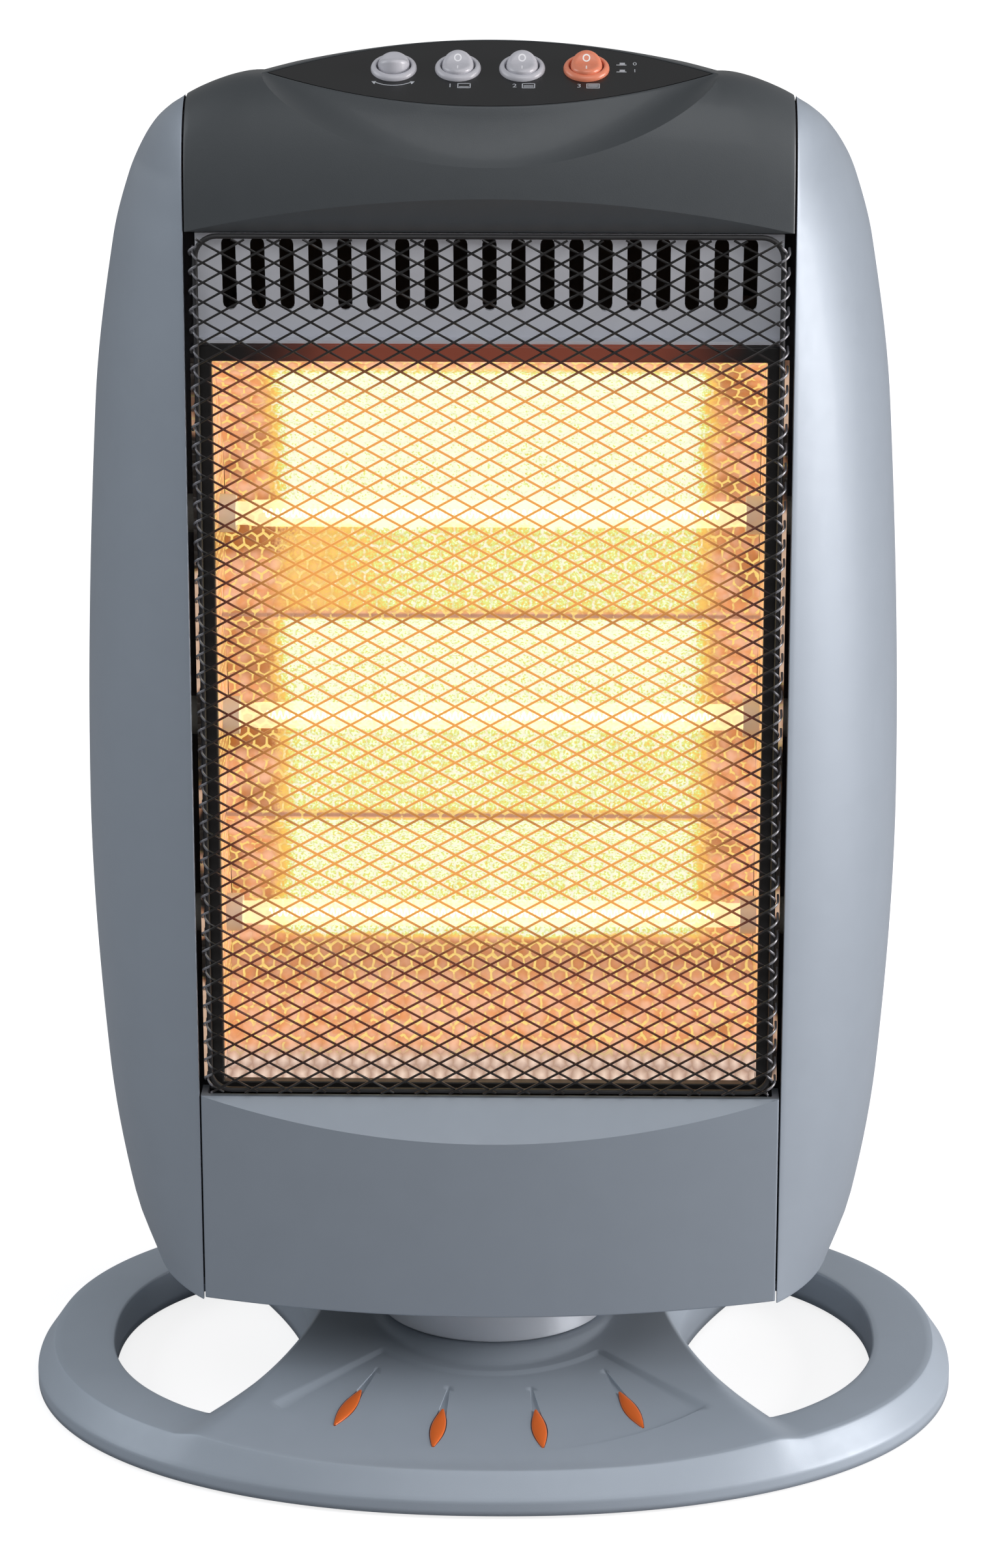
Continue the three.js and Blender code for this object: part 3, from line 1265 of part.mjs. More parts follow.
function ventBaffle() {
  const half = COLUMN_HALF - SEAM / 2 - WALL - 3 * GAP;
  const foot = REFLECTOR_TOP + BEZEL_FRAME_BAR + GAP;
  const top = GUARD_TOP - GAP;
  const shape = new THREE.Shape([
    new THREE.Vector2(-half, foot),
    new THREE.Vector2(half, foot),
    new THREE.Vector2(half, top),
    new THREE.Vector2(-half, top),
  ]);
  for (const x of mirrored(BAFFLE_SLOTS, BAFFLE_PITCH)) {
    const r = BAFFLE_SLOT_WIDTH / 2;
    const slot = new THREE.Path();
    slot.absarc(x, BAFFLE_SLOT_BOTTOM + r, r, Math.PI, 2 * Math.PI);
    slot.absarc(x, top - r - BAFFLE_SLOT_MARGIN, r, 0, Math.PI);
    shape.holes.push(slot);
  }
  const heel = frameBack + BAFFLE_SETBACK;
  const sheet = { depth: BAFFLE_SHEET, bevelEnabled: false, curveSegments: 3 };
  const plate = new THREE.ExtrudeGeometry(shape, sheet);
  plate.rotateX(Math.PI / 2);
  plate.translate(0, 0, -foot);
  plate.rotateX(radians(BAFFLE_TILT));
  plate.translate(0, heel, foot);
  const lip = box(-half, half, frameBack - BAFFLE_LIP, heel - GAP, foot, foot + BAFFLE_SHEET);
  return mesh("vent_baffle", join(solid(plate), lip), materials.silver);
}

// ---- Assembly ----

const range = (count) => Array.from({ length: count }, (_, i) => i);

const base = new THREE.Group();
base.add(
  baseShell(),
  basePlate(),
  ...baseInlays(),
  ...rubberFeet(),
  swivelCollar(),
  pivotTube(),
  driveArm(),
  tipSwitchBody(),
  tipSwitchPlunger(),
);

eyeFrame.add(controlPanel(), ...range(SWITCHES).map(switchBody), ...range(SWITCHES).map(rocker));

const head = new THREE.Group();
head.add(
  headBasePan(),
  sidePanel("right_side_panel", 1),
  sidePanel("left_side_panel", -1),
  topCover(),
  eyeFrame,
  lowerFrontPanel(),
  rearCover(),
  ...rearScrews(),
  cordGland(),
  guardGrille(),
  grilleFrame(),
  ventBaffle(),
  reflector(),
  reflectorEnd("reflector_end_right", 1),
  reflectorEnd("reflector_end_left", -1),
  ...lamps(),
  ...sockets(),
  oscillationMotor(),
  motorCrank(),
  oscillationLink(),
  ...swivelHardware(),
);

const heater = new THREE.Group();
heater.add(base, head);

export default heater;
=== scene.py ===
"""Looks of a swivelling halogen heater, built around its fixed frame and laid out as an add-on.

Lengths in this file are millimetres unless a name or a note says otherwise; a finished mesh is in metres.
"""

import json
import math

import bmesh
import bpy
import numpy as np
from mathutils import Matrix, Vector

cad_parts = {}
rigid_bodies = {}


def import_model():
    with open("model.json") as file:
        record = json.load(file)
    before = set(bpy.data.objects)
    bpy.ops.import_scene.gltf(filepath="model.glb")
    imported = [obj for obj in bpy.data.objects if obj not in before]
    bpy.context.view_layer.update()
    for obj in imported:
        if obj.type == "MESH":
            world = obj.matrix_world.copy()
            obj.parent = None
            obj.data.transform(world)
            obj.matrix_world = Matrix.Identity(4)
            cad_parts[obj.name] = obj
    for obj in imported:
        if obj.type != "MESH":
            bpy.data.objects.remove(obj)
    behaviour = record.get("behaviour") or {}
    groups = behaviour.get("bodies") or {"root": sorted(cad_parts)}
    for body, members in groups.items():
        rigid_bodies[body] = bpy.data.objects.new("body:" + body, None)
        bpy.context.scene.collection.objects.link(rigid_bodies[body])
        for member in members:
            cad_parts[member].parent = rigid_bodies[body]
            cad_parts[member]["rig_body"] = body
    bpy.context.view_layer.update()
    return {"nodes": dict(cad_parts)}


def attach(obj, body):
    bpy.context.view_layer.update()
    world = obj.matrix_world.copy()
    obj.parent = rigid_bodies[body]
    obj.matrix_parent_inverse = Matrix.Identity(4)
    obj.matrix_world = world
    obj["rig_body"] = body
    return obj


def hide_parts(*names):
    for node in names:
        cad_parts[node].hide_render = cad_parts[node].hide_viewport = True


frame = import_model()

bl_info = {
    "name": "Halogen Heater",
    "version": (1, 0, 0),
    "blender": (4, 5, 0),
    "location": "View3D > Sidebar > Heater",
    "description": "Builds the looks of a swivelling halogen heater around its fixed frame",
    "category": "Object",
}

# ---- Sizes of the frame that the looks follow ----

MM = 0.001
GAP = 0.3
SEAM = 0.6
WALL = 2.5
SOFT = 0.6  # radius of moulded edges

BASE_HALF = np.array([183.0, 139.0])
BASE_POWER = 2.15
HOLE_HALF = np.array([152.0, 108.0])
HOLE_POWER = 2.3
BASE_UNDERSIDE = 1.5  # height of the base's lower edge over the floor
RING_TOP = 17.0
BEVEL_BOTTOM = 7.0
BEVEL_WIDTH = 7.0
BASE_WALL = 2.4
MOUND_RISE = 14.0
MOUND_FLAT = 12.0
MOUND_REACH = 125.0
MOUND_SHOULDER = 0.9  # share of the bridge's half width at which its top starts to fall
BRIDGE_WAIST = 75.0
BRIDGE_FLARE, BRIDGE_FLARE_Y = 24.0, 67.0  # how much wider the bridge is at that distance
BOSS_TOP_RADIUS = 49.0
BOSS_FOOT_RADIUS = 59.0
BOSS_CONE = 8.0
FAN_INNER = 60.5
FAN_OUTER = 118.0
FAN_HALF_ANGLE = 44.5
FAN_DEPTH = 0.8
FAN_SOFT = 0.5  # half width of the walls round the sunk fan
FAN_SIDE_SOFT = 0.55
INLAY_ANGLES = (-32.5, -11.0, 11.0, 32.5)
INLAY_TURN = 0.6  # share of its angle by which a leaf turns
INLAY_START = 88.0
INLAY_LENGTH = 27.0
INLAY_WIDTH = 6.2
GROOVE_START = 71.0
GROOVE_DEPTH = 0.6
GROOVE_WIDTH = 4.4

HEAD_BOTTOM = 60.0
SHOULDER_Y, SHOULDER_Z = -50.0, 522.0
GUARD_TOP = SHOULDER_Z - 46
GUARD_BOTTOM = HEAD_BOTTOM + 85
COLUMN_HALF = 110.0
COLUMN_FRONT = -77.0
COLUMN_BULGE = 11.0
LEAN_REACH = (SHOULDER_Z - HEAD_BOTTOM) / 2
COLUMN_MIDDLE_Z = HEAD_BOTTOM + LEAN_REACH
COLUMN_LEAN = 4.6
BROW_Z = GUARD_TOP + 4
BROW_ROUNDNESS = 2.4
BACK_Y = 48.0
BACK_BULGE = 8.0
BACK_ROUND_Z = SHOULDER_Z - 92
BACK_TUCK_Z = HEAD_BOTTOM + 190
BACK_TUCK = 12.0
SIDE_SWELL = 45.5
SIDE_WIDEST_Y = -8.0
SIDE_ARC_CENTRE = COLUMN_HALF - 50
SIDE_BULGE = (
    (0, 0.5), (0.054, 0.7), (0.173, 0.89), (0.405, 1), (0.74, 0.87), (0.874, 0.69),
    (0.926, 0.546), (0.952, 0.425), (0.976, 0.27), (0.991, 0.126), (1, 0),
)  # share of the height, share of the side panel's swell
BROW_FACET = 14.0
SILL_FACET = 15.0
LIP_SAG = 3.0
EYE_HALF_WIDTH = COLUMN_HALF - 28
EYE_TIP_Y = SHOULDER_Y - 5.4
EYE_TIP_Z = SHOULDER_Z + 8.6
EYE_TILT = math.radians(24)
EYE_HALF_LENGTH = 22.4
EYE_RUN = EYE_HALF_LENGTH * math.cos(EYE_TILT)
EYE_RISE = EYE_HALF_LENGTH * math.sin(EYE_TILT)
CHIN_DROP = 29.6
CHIN_POWER = 0.8
CHIN_HOLLOW_Y, CHIN_HOLLOW_Z = 0.3, 0.34  # where the pull of the chin's curve lies
CROWN_RISE = 14.0
PANEL_SEAT = 6.0
SEAT_BORDER = 0.5
SEAT_DEPTH = 2.3
SWITCH_XS = (-34.65, -11.55, 11.55, 34.65)
SWITCH_V = 2.5
BEZEL_RADIUS = 8.3
BEZEL_HEIGHT = 2.0
SWITCH_BODY_RADIUS = 7.3
SWITCH_BORE = 6.7
SWITCH_DEPTH = 14.0
SWITCH_FLOOR = 8.0
ROCKER_RADIUS = 5.7
ROCKER_TILT = math.radians(15)
ROCKER_PIVOT = -1.0
ROCKER_RIM = 7.0
ROCKER_WAIST = 4.4

GUARD_EDGE = 105.0  # where the mesh starts to fold back
GUARD_FOLD = 3.0
GUARD_FRONT = -77.4
GUARD_LOW, GUARD_HIGH = 147.2, 473.9
ROD_Y = -73.6
ROD_RADIUS = 1.0
ROD_CORNER = 8.0
MESH_WIDTH = 12.9
MESH_HEIGHT = 7.2  # a diamond of the guard is so wide and so high
REFLECTOR_TOP = GUARD_TOP - 48
REFLECTOR_BOTTOM = GUARD_BOTTOM + 4
REFLECTOR_HALF = 100.7
REFLECTOR_BACK = -20.0
REFLECTOR_RIDGE = -41.0
REFLECTOR_MOUTH = -65.4
LAMP_HEIGHTS = (207.0, 285.5, 364.0)
LAMP_Y = -40.0
LAMP_HALF = 98.0
LAMP_RADIUS = 5.0
LAMP_PINCH = 4.4
FILAMENT_HALF = 85.0


# ---- Curves and surfaces ----


def smooth_curve(pairs):
    """A function through pairs of input and value, by Hermite pieces with slopes from the neighbours."""
    at, value = np.array(pairs, float).T
    before = np.maximum(np.arange(len(at)) - 1, 0)
    after = np.minimum(np.arange(len(at)) + 1, len(at) - 1)
    slope = (value[after] - value[before]) / (at[after] - at[before])

    def evaluate(x):
        i = np.clip(np.searchsorted(at, x, side="right") - 1, 0, len(at) - 2)
        width = at[i + 1] - at[i]
        t = np.clip((x - at[i]) / width, 0, 1)
        bend = t * (1 - t) * width
        rise = t * t * (3 - 2 * t)
        return value[i] + (value[i + 1] - value[i]) * rise + bend * ((1 - t) * slope[i] - t * slope[i + 1])

    return evaluate


def soft_clip(t, e):
    """t held between 0 and 1, with a parabola of half width e rounding both kinks."""
    low = np.where(t < e, np.maximum(t + e, 0) ** 2 / (4 * e), t)
    high = np.where(t > 1 - e, 1 - np.maximum(1 + e - t, 0) ** 2 / (4 * e), low)
    return np.clip(high, 0, 1)


def points(x, y, z):
    """Coordinates of any shapes that fit together, as one array of points."""
    return np.stack(np.broadcast_arrays(x, y, z), axis=-1).astype(float)


def unit(v):
    """Vectors scaled to length 1; the zero vector stays."""
    return v / np.maximum(np.linalg.norm(v, axis=-1, keepdims=True), 1e-9)


def rounded_corner(before, corner, after, radius):
    """Five points of a parabola that replaces a corner, at most radius away along both of its sides."""
    reach_in = np.minimum(radius, 0.45 * np.linalg.norm(before - corner, axis=-1, keepdims=True))
    reach_out = np.minimum(radius, 0.45 * np.linalg.norm(after - corner, axis=-1, keepdims=True))
    first = corner + unit(before - corner) * reach_in
    last = corner + unit(after - corner) * reach_out
    t = np.linspace(0, 1, 5).reshape((1,) * (corner.ndim - 1) + (5, 1))
    first, corner, last = (v[..., None, :] for v in (first, corner, last))
    return first * (1 - t) ** 2 + corner * 2 * t * (1 - t) + last * t**2


def rounded_ends(line, inward, radius):
    """Lines whose ends turn inwards by a quarter circle; inward holds the directions of both ends."""
    phi = np.radians([0, 30, 60, 90])[:, None]

    def arc(end, following, direction):
        along = unit(following - end)[..., None, :]
        reach = np.minimum(radius, 0.45 * np.linalg.norm(following - end, axis=-1))[..., None, None]
        centre = end[..., None, :] + (along + direction) * reach
        return centre - (along * np.cos(phi) + direction * np.sin(phi)) * reach

    first = arc(line[..., 0, :], line[..., 1, :], np.array(inward[0], float))
    last = arc(line[..., -1, :], line[..., -2, :], np.array(inward[1], float))
    return np.concatenate([first, line[..., 1:-1, :], last[..., ::-1, :]], axis=-2)


def bulge(x):
    """1 in the middle of the column and 0 at its seams, as a parabola."""
    return 1 - np.clip(np.abs(x) / COLUMN_HALF, 0, 1) ** 2


def eye_share(x):
    """1 in the middle of the control panel and 0 at its tips, as a parabola."""
    return np.maximum(0, 1 - (x / EYE_HALF_WIDTH) ** 2)


def crest(x):
    """Highest line of the head: the panel's rear edge, then a quarter parabola down to the seams."""
    e = eye_share(x)
    share = np.clip((np.abs(x) - EYE_HALF_WIDTH) / (COLUMN_HALF - EYE_HALF_WIDTH), 0, 1)
    y = np.where(e > 0, EYE_TIP_Y + EYE_RUN * e, EYE_TIP_Y + (SHOULDER_Y - EYE_TIP_Y) * share)
    z = np.where(e > 0, EYE_TIP_Z + EYE_RISE * e, SHOULDER_Z + (EYE_TIP_Z - SHOULDER_Z) * (1 - share**2))
    return y, z


def column_front(x, z):
    """Front of the column: a parabola across, leaning back with the square of the height off its middle."""
    return COLUMN_FRONT - COLUMN_BULGE * bulge(x) + COLUMN_LEAN * ((z - COLUMN_MIDDLE_Z) / LEAN_REACH) ** 2


def front_y(x, z, inset=0.0):
    """Front face, rounding over above the brow as a superellipse quarter towards the uncut crown."""
    e = eye_share(x)
    top_y, top_z = crest(x)
    over_y = np.where(e > 0, EYE_TIP_Y + (SHOULDER_Y - EYE_TIP_Y) * e, top_y)
    over_z = np.where(e > 0, EYE_TIP_Z + CROWN_RISE * e, top_z)
    brow = column_front(x, np.minimum(z, BROW_Z)) + inset
    share = np.clip((z - BROW_Z) / (over_z - inset - BROW_Z), 0, 1)
    return over_y - (over_y - brow) * (1 - share**BROW_ROUNDNESS) ** (1 / BROW_ROUNDNESS)


def back_y(x, z, inset=0.0):
    """Rear face: falling in near the floor with a square, rounding over near the crest as an ellipse quarter.

    Near the seams and in the middle the ellipse turns into a straight slope just below the crest.
    """
    face = BACK_Y + BACK_BULGE * bulge(x) - inset
    tucked = np.maximum(0, BACK_TUCK_Z - z) / (BACK_TUCK_Z - HEAD_BOTTOM)
    top_y, top_z = crest(x)
    share = np.clip((z - BACK_ROUND_Z) / (top_z - inset - BACK_ROUND_Z), 0, 1)
    far = np.clip((np.abs(x) - 84) / 24, 0, 1)
    crisp = np.maximum(0.8 * np.clip(1 - (x / 70) ** 2, 0, 1), far * far * (3 - 2 * far))
    late = np.clip(2 * share - 1, 0, 1)
    fall = np.sqrt(1 - share**2)
    fall = fall + (2.35 * (1 - share) - fall) * late * late * (3 - 2 * late) * crisp
    return np.where(z <= BACK_ROUND_Z, face - BACK_TUCK * tucked**2, top_y + (face - top_y) * fall)


swell_share = smooth_curve(SIDE_BULGE)


def side_curve(z, inset, count):
    """Plan curves of the right side at heights z: arcs of an ellipse from the front to the rear seam."""
    z, inset = np.broadcast_arrays(np.asarray(z, float)[:, None], np.reshape(inset, (-1, 1)))
    x0 = COLUMN_HALF + SEAM / 2
    half = COLUMN_HALF + SIDE_SWELL * swell_share((z - HEAD_BOTTOM) / (SHOULDER_Z - HEAD_BOTTOM))
    wide = np.maximum(half - inset, x0 + 0.05)
    start = np.arcsin(np.clip((x0 - SIDE_ARC_CENTRE) / (wide - SIDE_ARC_CENTRE), 0, 0.9995))
    front, back = front_y(COLUMN_HALF, z, inset), back_y(COLUMN_HALF, z, inset)
    middle = np.clip(SIDE_WIDEST_Y, front + (back - front) * 0.4, back - (back - front) * 0.3)
    angle = start + (math.pi - 2 * start) * np.linspace(0, 1, count)
    reach = np.cos(angle) / np.cos(start)
    y = np.where(reach > 0, middle - (middle - front) * reach, middle - (back - middle) * reach)
    return points(SIDE_ARC_CENTRE + (wide - SIDE_ARC_CENTRE) * np.sin(angle), y, z)


# ---- Making meshes ----


class Shape:
    """Patches of points and faces that become one mesh."""

    def __init__(self):
        self.points = []
        self.faces = []
        self.places = []
        self.count = 0

    def add(self, where, faces, places=None):
        """Take points, faces as rows of point numbers, and places, an own coordinate for the shader."""
        where = np.asarray(where, float).reshape(-1, 3)
        self.points.append(where)
        self.faces.append(np.asarray(faces) + self.count)
        self.places.append(np.zeros_like(where) if places is None else np.asarray(places).reshape(-1, 3))
        self.count += len(where)
        return self

    def grid(self, where, wrap_rows=False, wrap_columns=False, places=None):
        """Quads over rows and columns of points; a wrapped direction runs round to its start."""
        rows, columns = where.shape[:2]
        index = np.arange(rows * columns).reshape(rows, columns)
        index = np.vstack([index, index[:1]]) if wrap_rows else index
        index = np.hstack([index, index[:, :1]]) if wrap_columns else index
        quads = np.stack([index[:-1, :-1], index[:-1, 1:], index[1:, 1:], index[1:, :-1]], axis=-1)
        return self.add(where, quads.reshape(-1, 4), places)

    def shell(self, outer, inner):
        """Closed wall between two grids of the same size: both faces and the four edges.

        The place of the outer points is 1, 1, 1 and that of the inner points 0, 0, 0.
        """
        ones, zeros = np.ones_like(outer), np.zeros_like(inner)
        loops = np.concatenate([outer, inner[:, ::-1]], axis=1)
        self.grid(loops, wrap_columns=True, places=np.concatenate([ones, zeros], axis=1))
        for row in (0, -1):
            self.grid(np.stack([outer[row], inner[row]]), places=np.stack([ones[row], zeros[row]]))
        return self

    def tubes(self, lines, radius, normal, sides=6, closed=False):
        """Round tubes along lines of shape (tubes, points, 3); normal is one side direction at each point."""
        ahead, behind = np.roll(lines, -1, axis=1), np.roll(lines, 1, axis=1)
        if not closed:
            ahead[:, -1], behind[:, 0] = lines[:, -1], lines[:, 0]
        along = unit(ahead - behind)
        across = unit(normal - along * np.sum(normal * along, axis=-1, keepdims=True))
        third = np.cross(along, across)
        angle = np.linspace(0, 2 * math.pi, sides, endpoint=False)[:, None]
        outward = across[:, :, None] * np.cos(angle) + third[:, :, None] * np.sin(angle)
        where = lines[:, :, None] + outward * radius
        tubes, length = lines.shape[:2]
        index = np.arange(tubes * length * sides).reshape(tubes, length, sides)
        index = np.concatenate([index, index[..., :1]], axis=2)
        index = np.concatenate([index, index[:, :1]], axis=1) if closed else index
        ring, following = index[:, :-1], index[:, 1:]
        quads = np.stack([ring[..., :-1], ring[..., 1:], following[..., 1:], following[..., :-1]], axis=-1)
        base = self.count
        self.add(where, quads.reshape(-1, 4))
        if not closed:
            ends = index[:, [0, -1], :-1].reshape(-1, sides)
            self.faces.append(ends + base)
        return self

    def turned(self, profile, sides=96):
        """Radii and heights turned about Z; a section that starts off the axis closes on itself."""
        radius, height = np.array(profile, float).T
        angle = np.linspace(0, 2 * math.pi, sides, endpoint=False)
        where = points(radius[:, None] * np.cos(angle), radius[:, None] * np.sin(angle), height[:, None])
        return self.grid(where, wrap_rows=radius[0] > 0, wrap_columns=True)

    def moved(self, matrix):
        """All points so far carried by a 4 x 4 matrix."""
        whole = np.array(matrix)
        self.points = [where @ whole[:3, :3].T + whole[:3, 3] for where in self.points]
        return self

    def mesh(self, name):
        """One mesh in metres; points that coincide are merged and the faces turned outwards."""
        made = bpy.data.meshes.new(name)
        where = np.concatenate(self.points) * MM
        made.from_pydata(where, [], [face for block in self.faces for face in block.tolist()])
        place = made.attributes.new("place", "FLOAT_VECTOR", "POINT")
        place.data.foreach_set("vector", np.concatenate(self.places).astype(np.float32).ravel())
        return tidy(made)


def tidy(mesh, distance=2e-6):
    """Merge doubles, drop faces without area and turn the rest outwards."""
    work = bmesh.new()
    work.from_mesh(mesh)
    bmesh.ops.remove_doubles(work, verts=work.verts, dist=distance)
    bmesh.ops.dissolve_degenerate(work, edges=work.edges, dist=distance / 2)
    bmesh.ops.recalc_face_normals(work, faces=work.faces)
    work.to_mesh(mesh)
    work.free()
    mesh.validate()
    return mesh


def finish_piece(name, mesh, material, body, replaces=(), sharp=32.0):
    """Link a finished mesh as a piece that rides on a body and stands for the CAD nodes named."""
    mesh.shade_smooth()
    mesh.set_sharp_from_angle(angle=math.radians(sharp))
    mesh.materials.clear()
    mesh.materials.append(material)
    piece = bpy.data.objects.new(name, mesh)
    bpy.context.scene.collection.objects.link(piece)
    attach(piece, body)
    if replaces:
        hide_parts(*replaces)
    return piece


def refined(node, material, sharp=30.0, bevel=0.0):
    """A CAD node's copy with joined faces, smooth below the sharp angle, its edges rounded by bevel."""
    source = frame["nodes"][node]
    mesh = source.data.copy()
    if "custom_normal" in mesh.attributes:
        mesh.attributes.remove(mesh.attributes["custom_normal"])
    tidy(mesh, 1e-5)
    mesh.name = "fine_" + node
    piece = finish_piece("fine_" + node, mesh, material, source["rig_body"], (node,), sharp)
    if bevel:
        made = piece.modifiers.new("Soft edges", "BEVEL")
        made.width = bevel * MM
        made.segments = 2
        made.limit_method = "ANGLE"
        made.angle_limit = math.radians(40)
    return piece


# ---- Shaders ----


def math_node(operation, swapped=False):
    """A method that grows one Math node from its own value and the other one, in this order or swapped."""

    def grow(self, *others):
        values = (*others, self) if swapped else (self, *others)
        return self.shader.math(operation, *values)

    return grow


class Socket:
    """A shader value; arithmetic on it grows Math nodes."""

    def __init__(self, shader, socket):
        self.shader = shader
        self.socket = socket

    __add__ = math_node("ADD")
    __radd__ = math_node("ADD", True)
    __sub__ = math_node("SUBTRACT")
    __rsub__ = math_node("SUBTRACT", True)
    __mul__ = math_node("MULTIPLY")
    __rmul__ = math_node("MULTIPLY", True)
    __pow__ = math_node("POWER")
    __truediv__ = math_node("DIVIDE")
    __mod__ = math_node("FLOORED_MODULO")
    __lt__ = math_node("LESS_THAN")
    __abs__ = math_node("ABSOLUTE")


class Shader:
    """The node tree of one material, with its principled shader."""

    def __init__(self, name, **constants):
        self.material = bpy.data.materials.new(name)
        self.material.use_nodes = True
        self.tree = self.material.node_tree
        self.surface = self.tree.nodes["Principled BSDF"]
        self.set(**constants)

    def set(self, **values):
        """Set or link inputs of the principled shader, named with underscores."""
        for name, value in values.items():
            self.feed(self.surface.inputs[name.replace("_", " ")], value)

    def feed(self, target, value):
        """Link a socket value into an input, or set the input's own value."""
        if isinstance(value, Socket):
            self.tree.links.new(value.socket, target)
        elif hasattr(target.default_value, "__len__") and len(target.default_value) == 4:
            target.default_value = (*value, 1.0) if len(value) == 3 else value
        else:
            target.default_value = value

    def node(self, kind, settings, inputs, output=0):
        """Add a node: its settings first, then its inputs by name or number; gives one of its outputs."""
        made = self.tree.nodes.new(kind)
        for name, value in settings.items():
            setattr(made, name, value)
        for name, value in inputs.items():
            self.feed(made.inputs[name], value)
        return Socket(self, made.outputs[output])

    def math(self, operation, *values):
        """One Math node over numbers and sockets."""
        return self.node("ShaderNodeMath", {"operation": operation}, dict(enumerate(values)))

    def least(self, a, b):
        return self.math("MINIMUM", a, b)

    def most(self, a, b):
        return self.math("MAXIMUM", a, b)

    def step(self, value, low, high):
        """0 below low, 1 above high, a smooth step between them."""
        ranges = {"Value": value, "From Min": low, "From Max": high}
        return self.node("ShaderNodeMapRange", {"interpolation_type": "SMOOTHSTEP", "clamp": True}, ranges)

    def band(self, value, low, low_full, high_full, high):
        """1 between the inner two limits and 0 beyond the outer two, with smooth steps between them."""
        return self.step(value, low, low_full) * (1 - self.step(value, high_full, high))

    def blend(self, factor, a, b):
        """Colour between a and b."""
        return self.node("ShaderNodeMix", {"data_type": "RGBA"}, {0: factor, 6: a, 7: b}, 2)

    def noise(self, scale, detail=2.0, where=None, roughness=0.5):
        """Noise about 0.5 at features of 1 / scale metres."""
        inputs = {"Scale": scale, "Detail": detail, "Roughness": roughness}
        inputs["Vector"] = where or self.position()
        return self.node("ShaderNodeTexNoise", {}, inputs)

    def position(self):
        """The object's own coordinates, in metres."""
        return self.node("ShaderNodeTexCoord", {}, {}, "Object")

    def place(self):
        """The coordinate of its own that a mesh carries for the shader."""
        return self.node("ShaderNodeAttribute", {"attribute_name": "place"}, {}, "Vector")

    def millimetres(self):
        """The three parts of the position, in millimetres."""
        return [axis * 1000 for axis in self.axes(self.position())]

    def axes(self, where):
        """The three parts of a vector."""
        split = self.node("ShaderNodeSeparateXYZ", {}, {0: where}).socket.node
        return [Socket(self, output) for output in split.outputs]

    def bump(self, height, depth, strength=1.0):
        """Bump by a height of 0 to 1 that stands for depth millimetres."""
        inputs = {"Strength": strength, "Distance": depth * MM, "Height": height}
        self.set(Normal=self.node("ShaderNodeBump", {}, inputs))

    def varied(self, colour, roughness, amount=0.04, scale=60.0):
        """Base colour and roughness that wander a little over the piece."""
        drift = self.noise(scale, 3.0)
        darker = tuple(c * (1 - amount) for c in colour)
        lighter = tuple(min(1.0, c * (1 + amount)) for c in colour)
        self.set(Base_Color=self.blend(drift, darker, lighter))
        self.set(Roughness=roughness * (0.9 + 0.2 * self.noise(scale * 4)))


def painted(name, colour, roughness, metallic=0.0, grain=0.0, grain_size=0.5, coat=0.0, amount=0.04):
    """Moulded or painted finish: a slow drift of tone and a fine grain of the given depth and size."""
    shader = Shader(name, Metallic=metallic, Coat_Weight=coat, Coat_Roughness=0.12)
    shader.varied(colour, roughness, amount)
    if grain:
        shader.bump(shader.noise(1 / (grain_size * MM), 2.0), grain)
    return shader.material


def ridge_heights():
    """Heights of the reflector's ridges, half way between its lamps."""
    return [(low + high) / 2 for low, high in zip(LAMP_HEIGHTS, LAMP_HEIGHTS[1:])]


def hexagons(shader, x, z, pitch):
    """How near a point is to the border of its hexagon: 0 in the middle, 1 on the border.

    Two offset rectangular lattices hold all centres; the nearer one gives the cell, and the larger of the
    distances along x and along the slanted direction gives the hexagon.
    """
    wide, tall = pitch, pitch * math.sqrt(3)
    ax, az = x % wide - wide / 2, z % tall - tall / 2
    bx, bz = (x + wide / 2) % wide - wide / 2, (z + tall / 2) % tall - tall / 2
    nearer = (ax * ax + az * az) < (bx * bx + bz * bz)
    cx, cz = abs(bx + (ax - bx) * nearer), abs(bz + (az - bz) * nearer)
    return shader.most(cx, cx * 0.5 + cz * 0.866) / (pitch / 2)


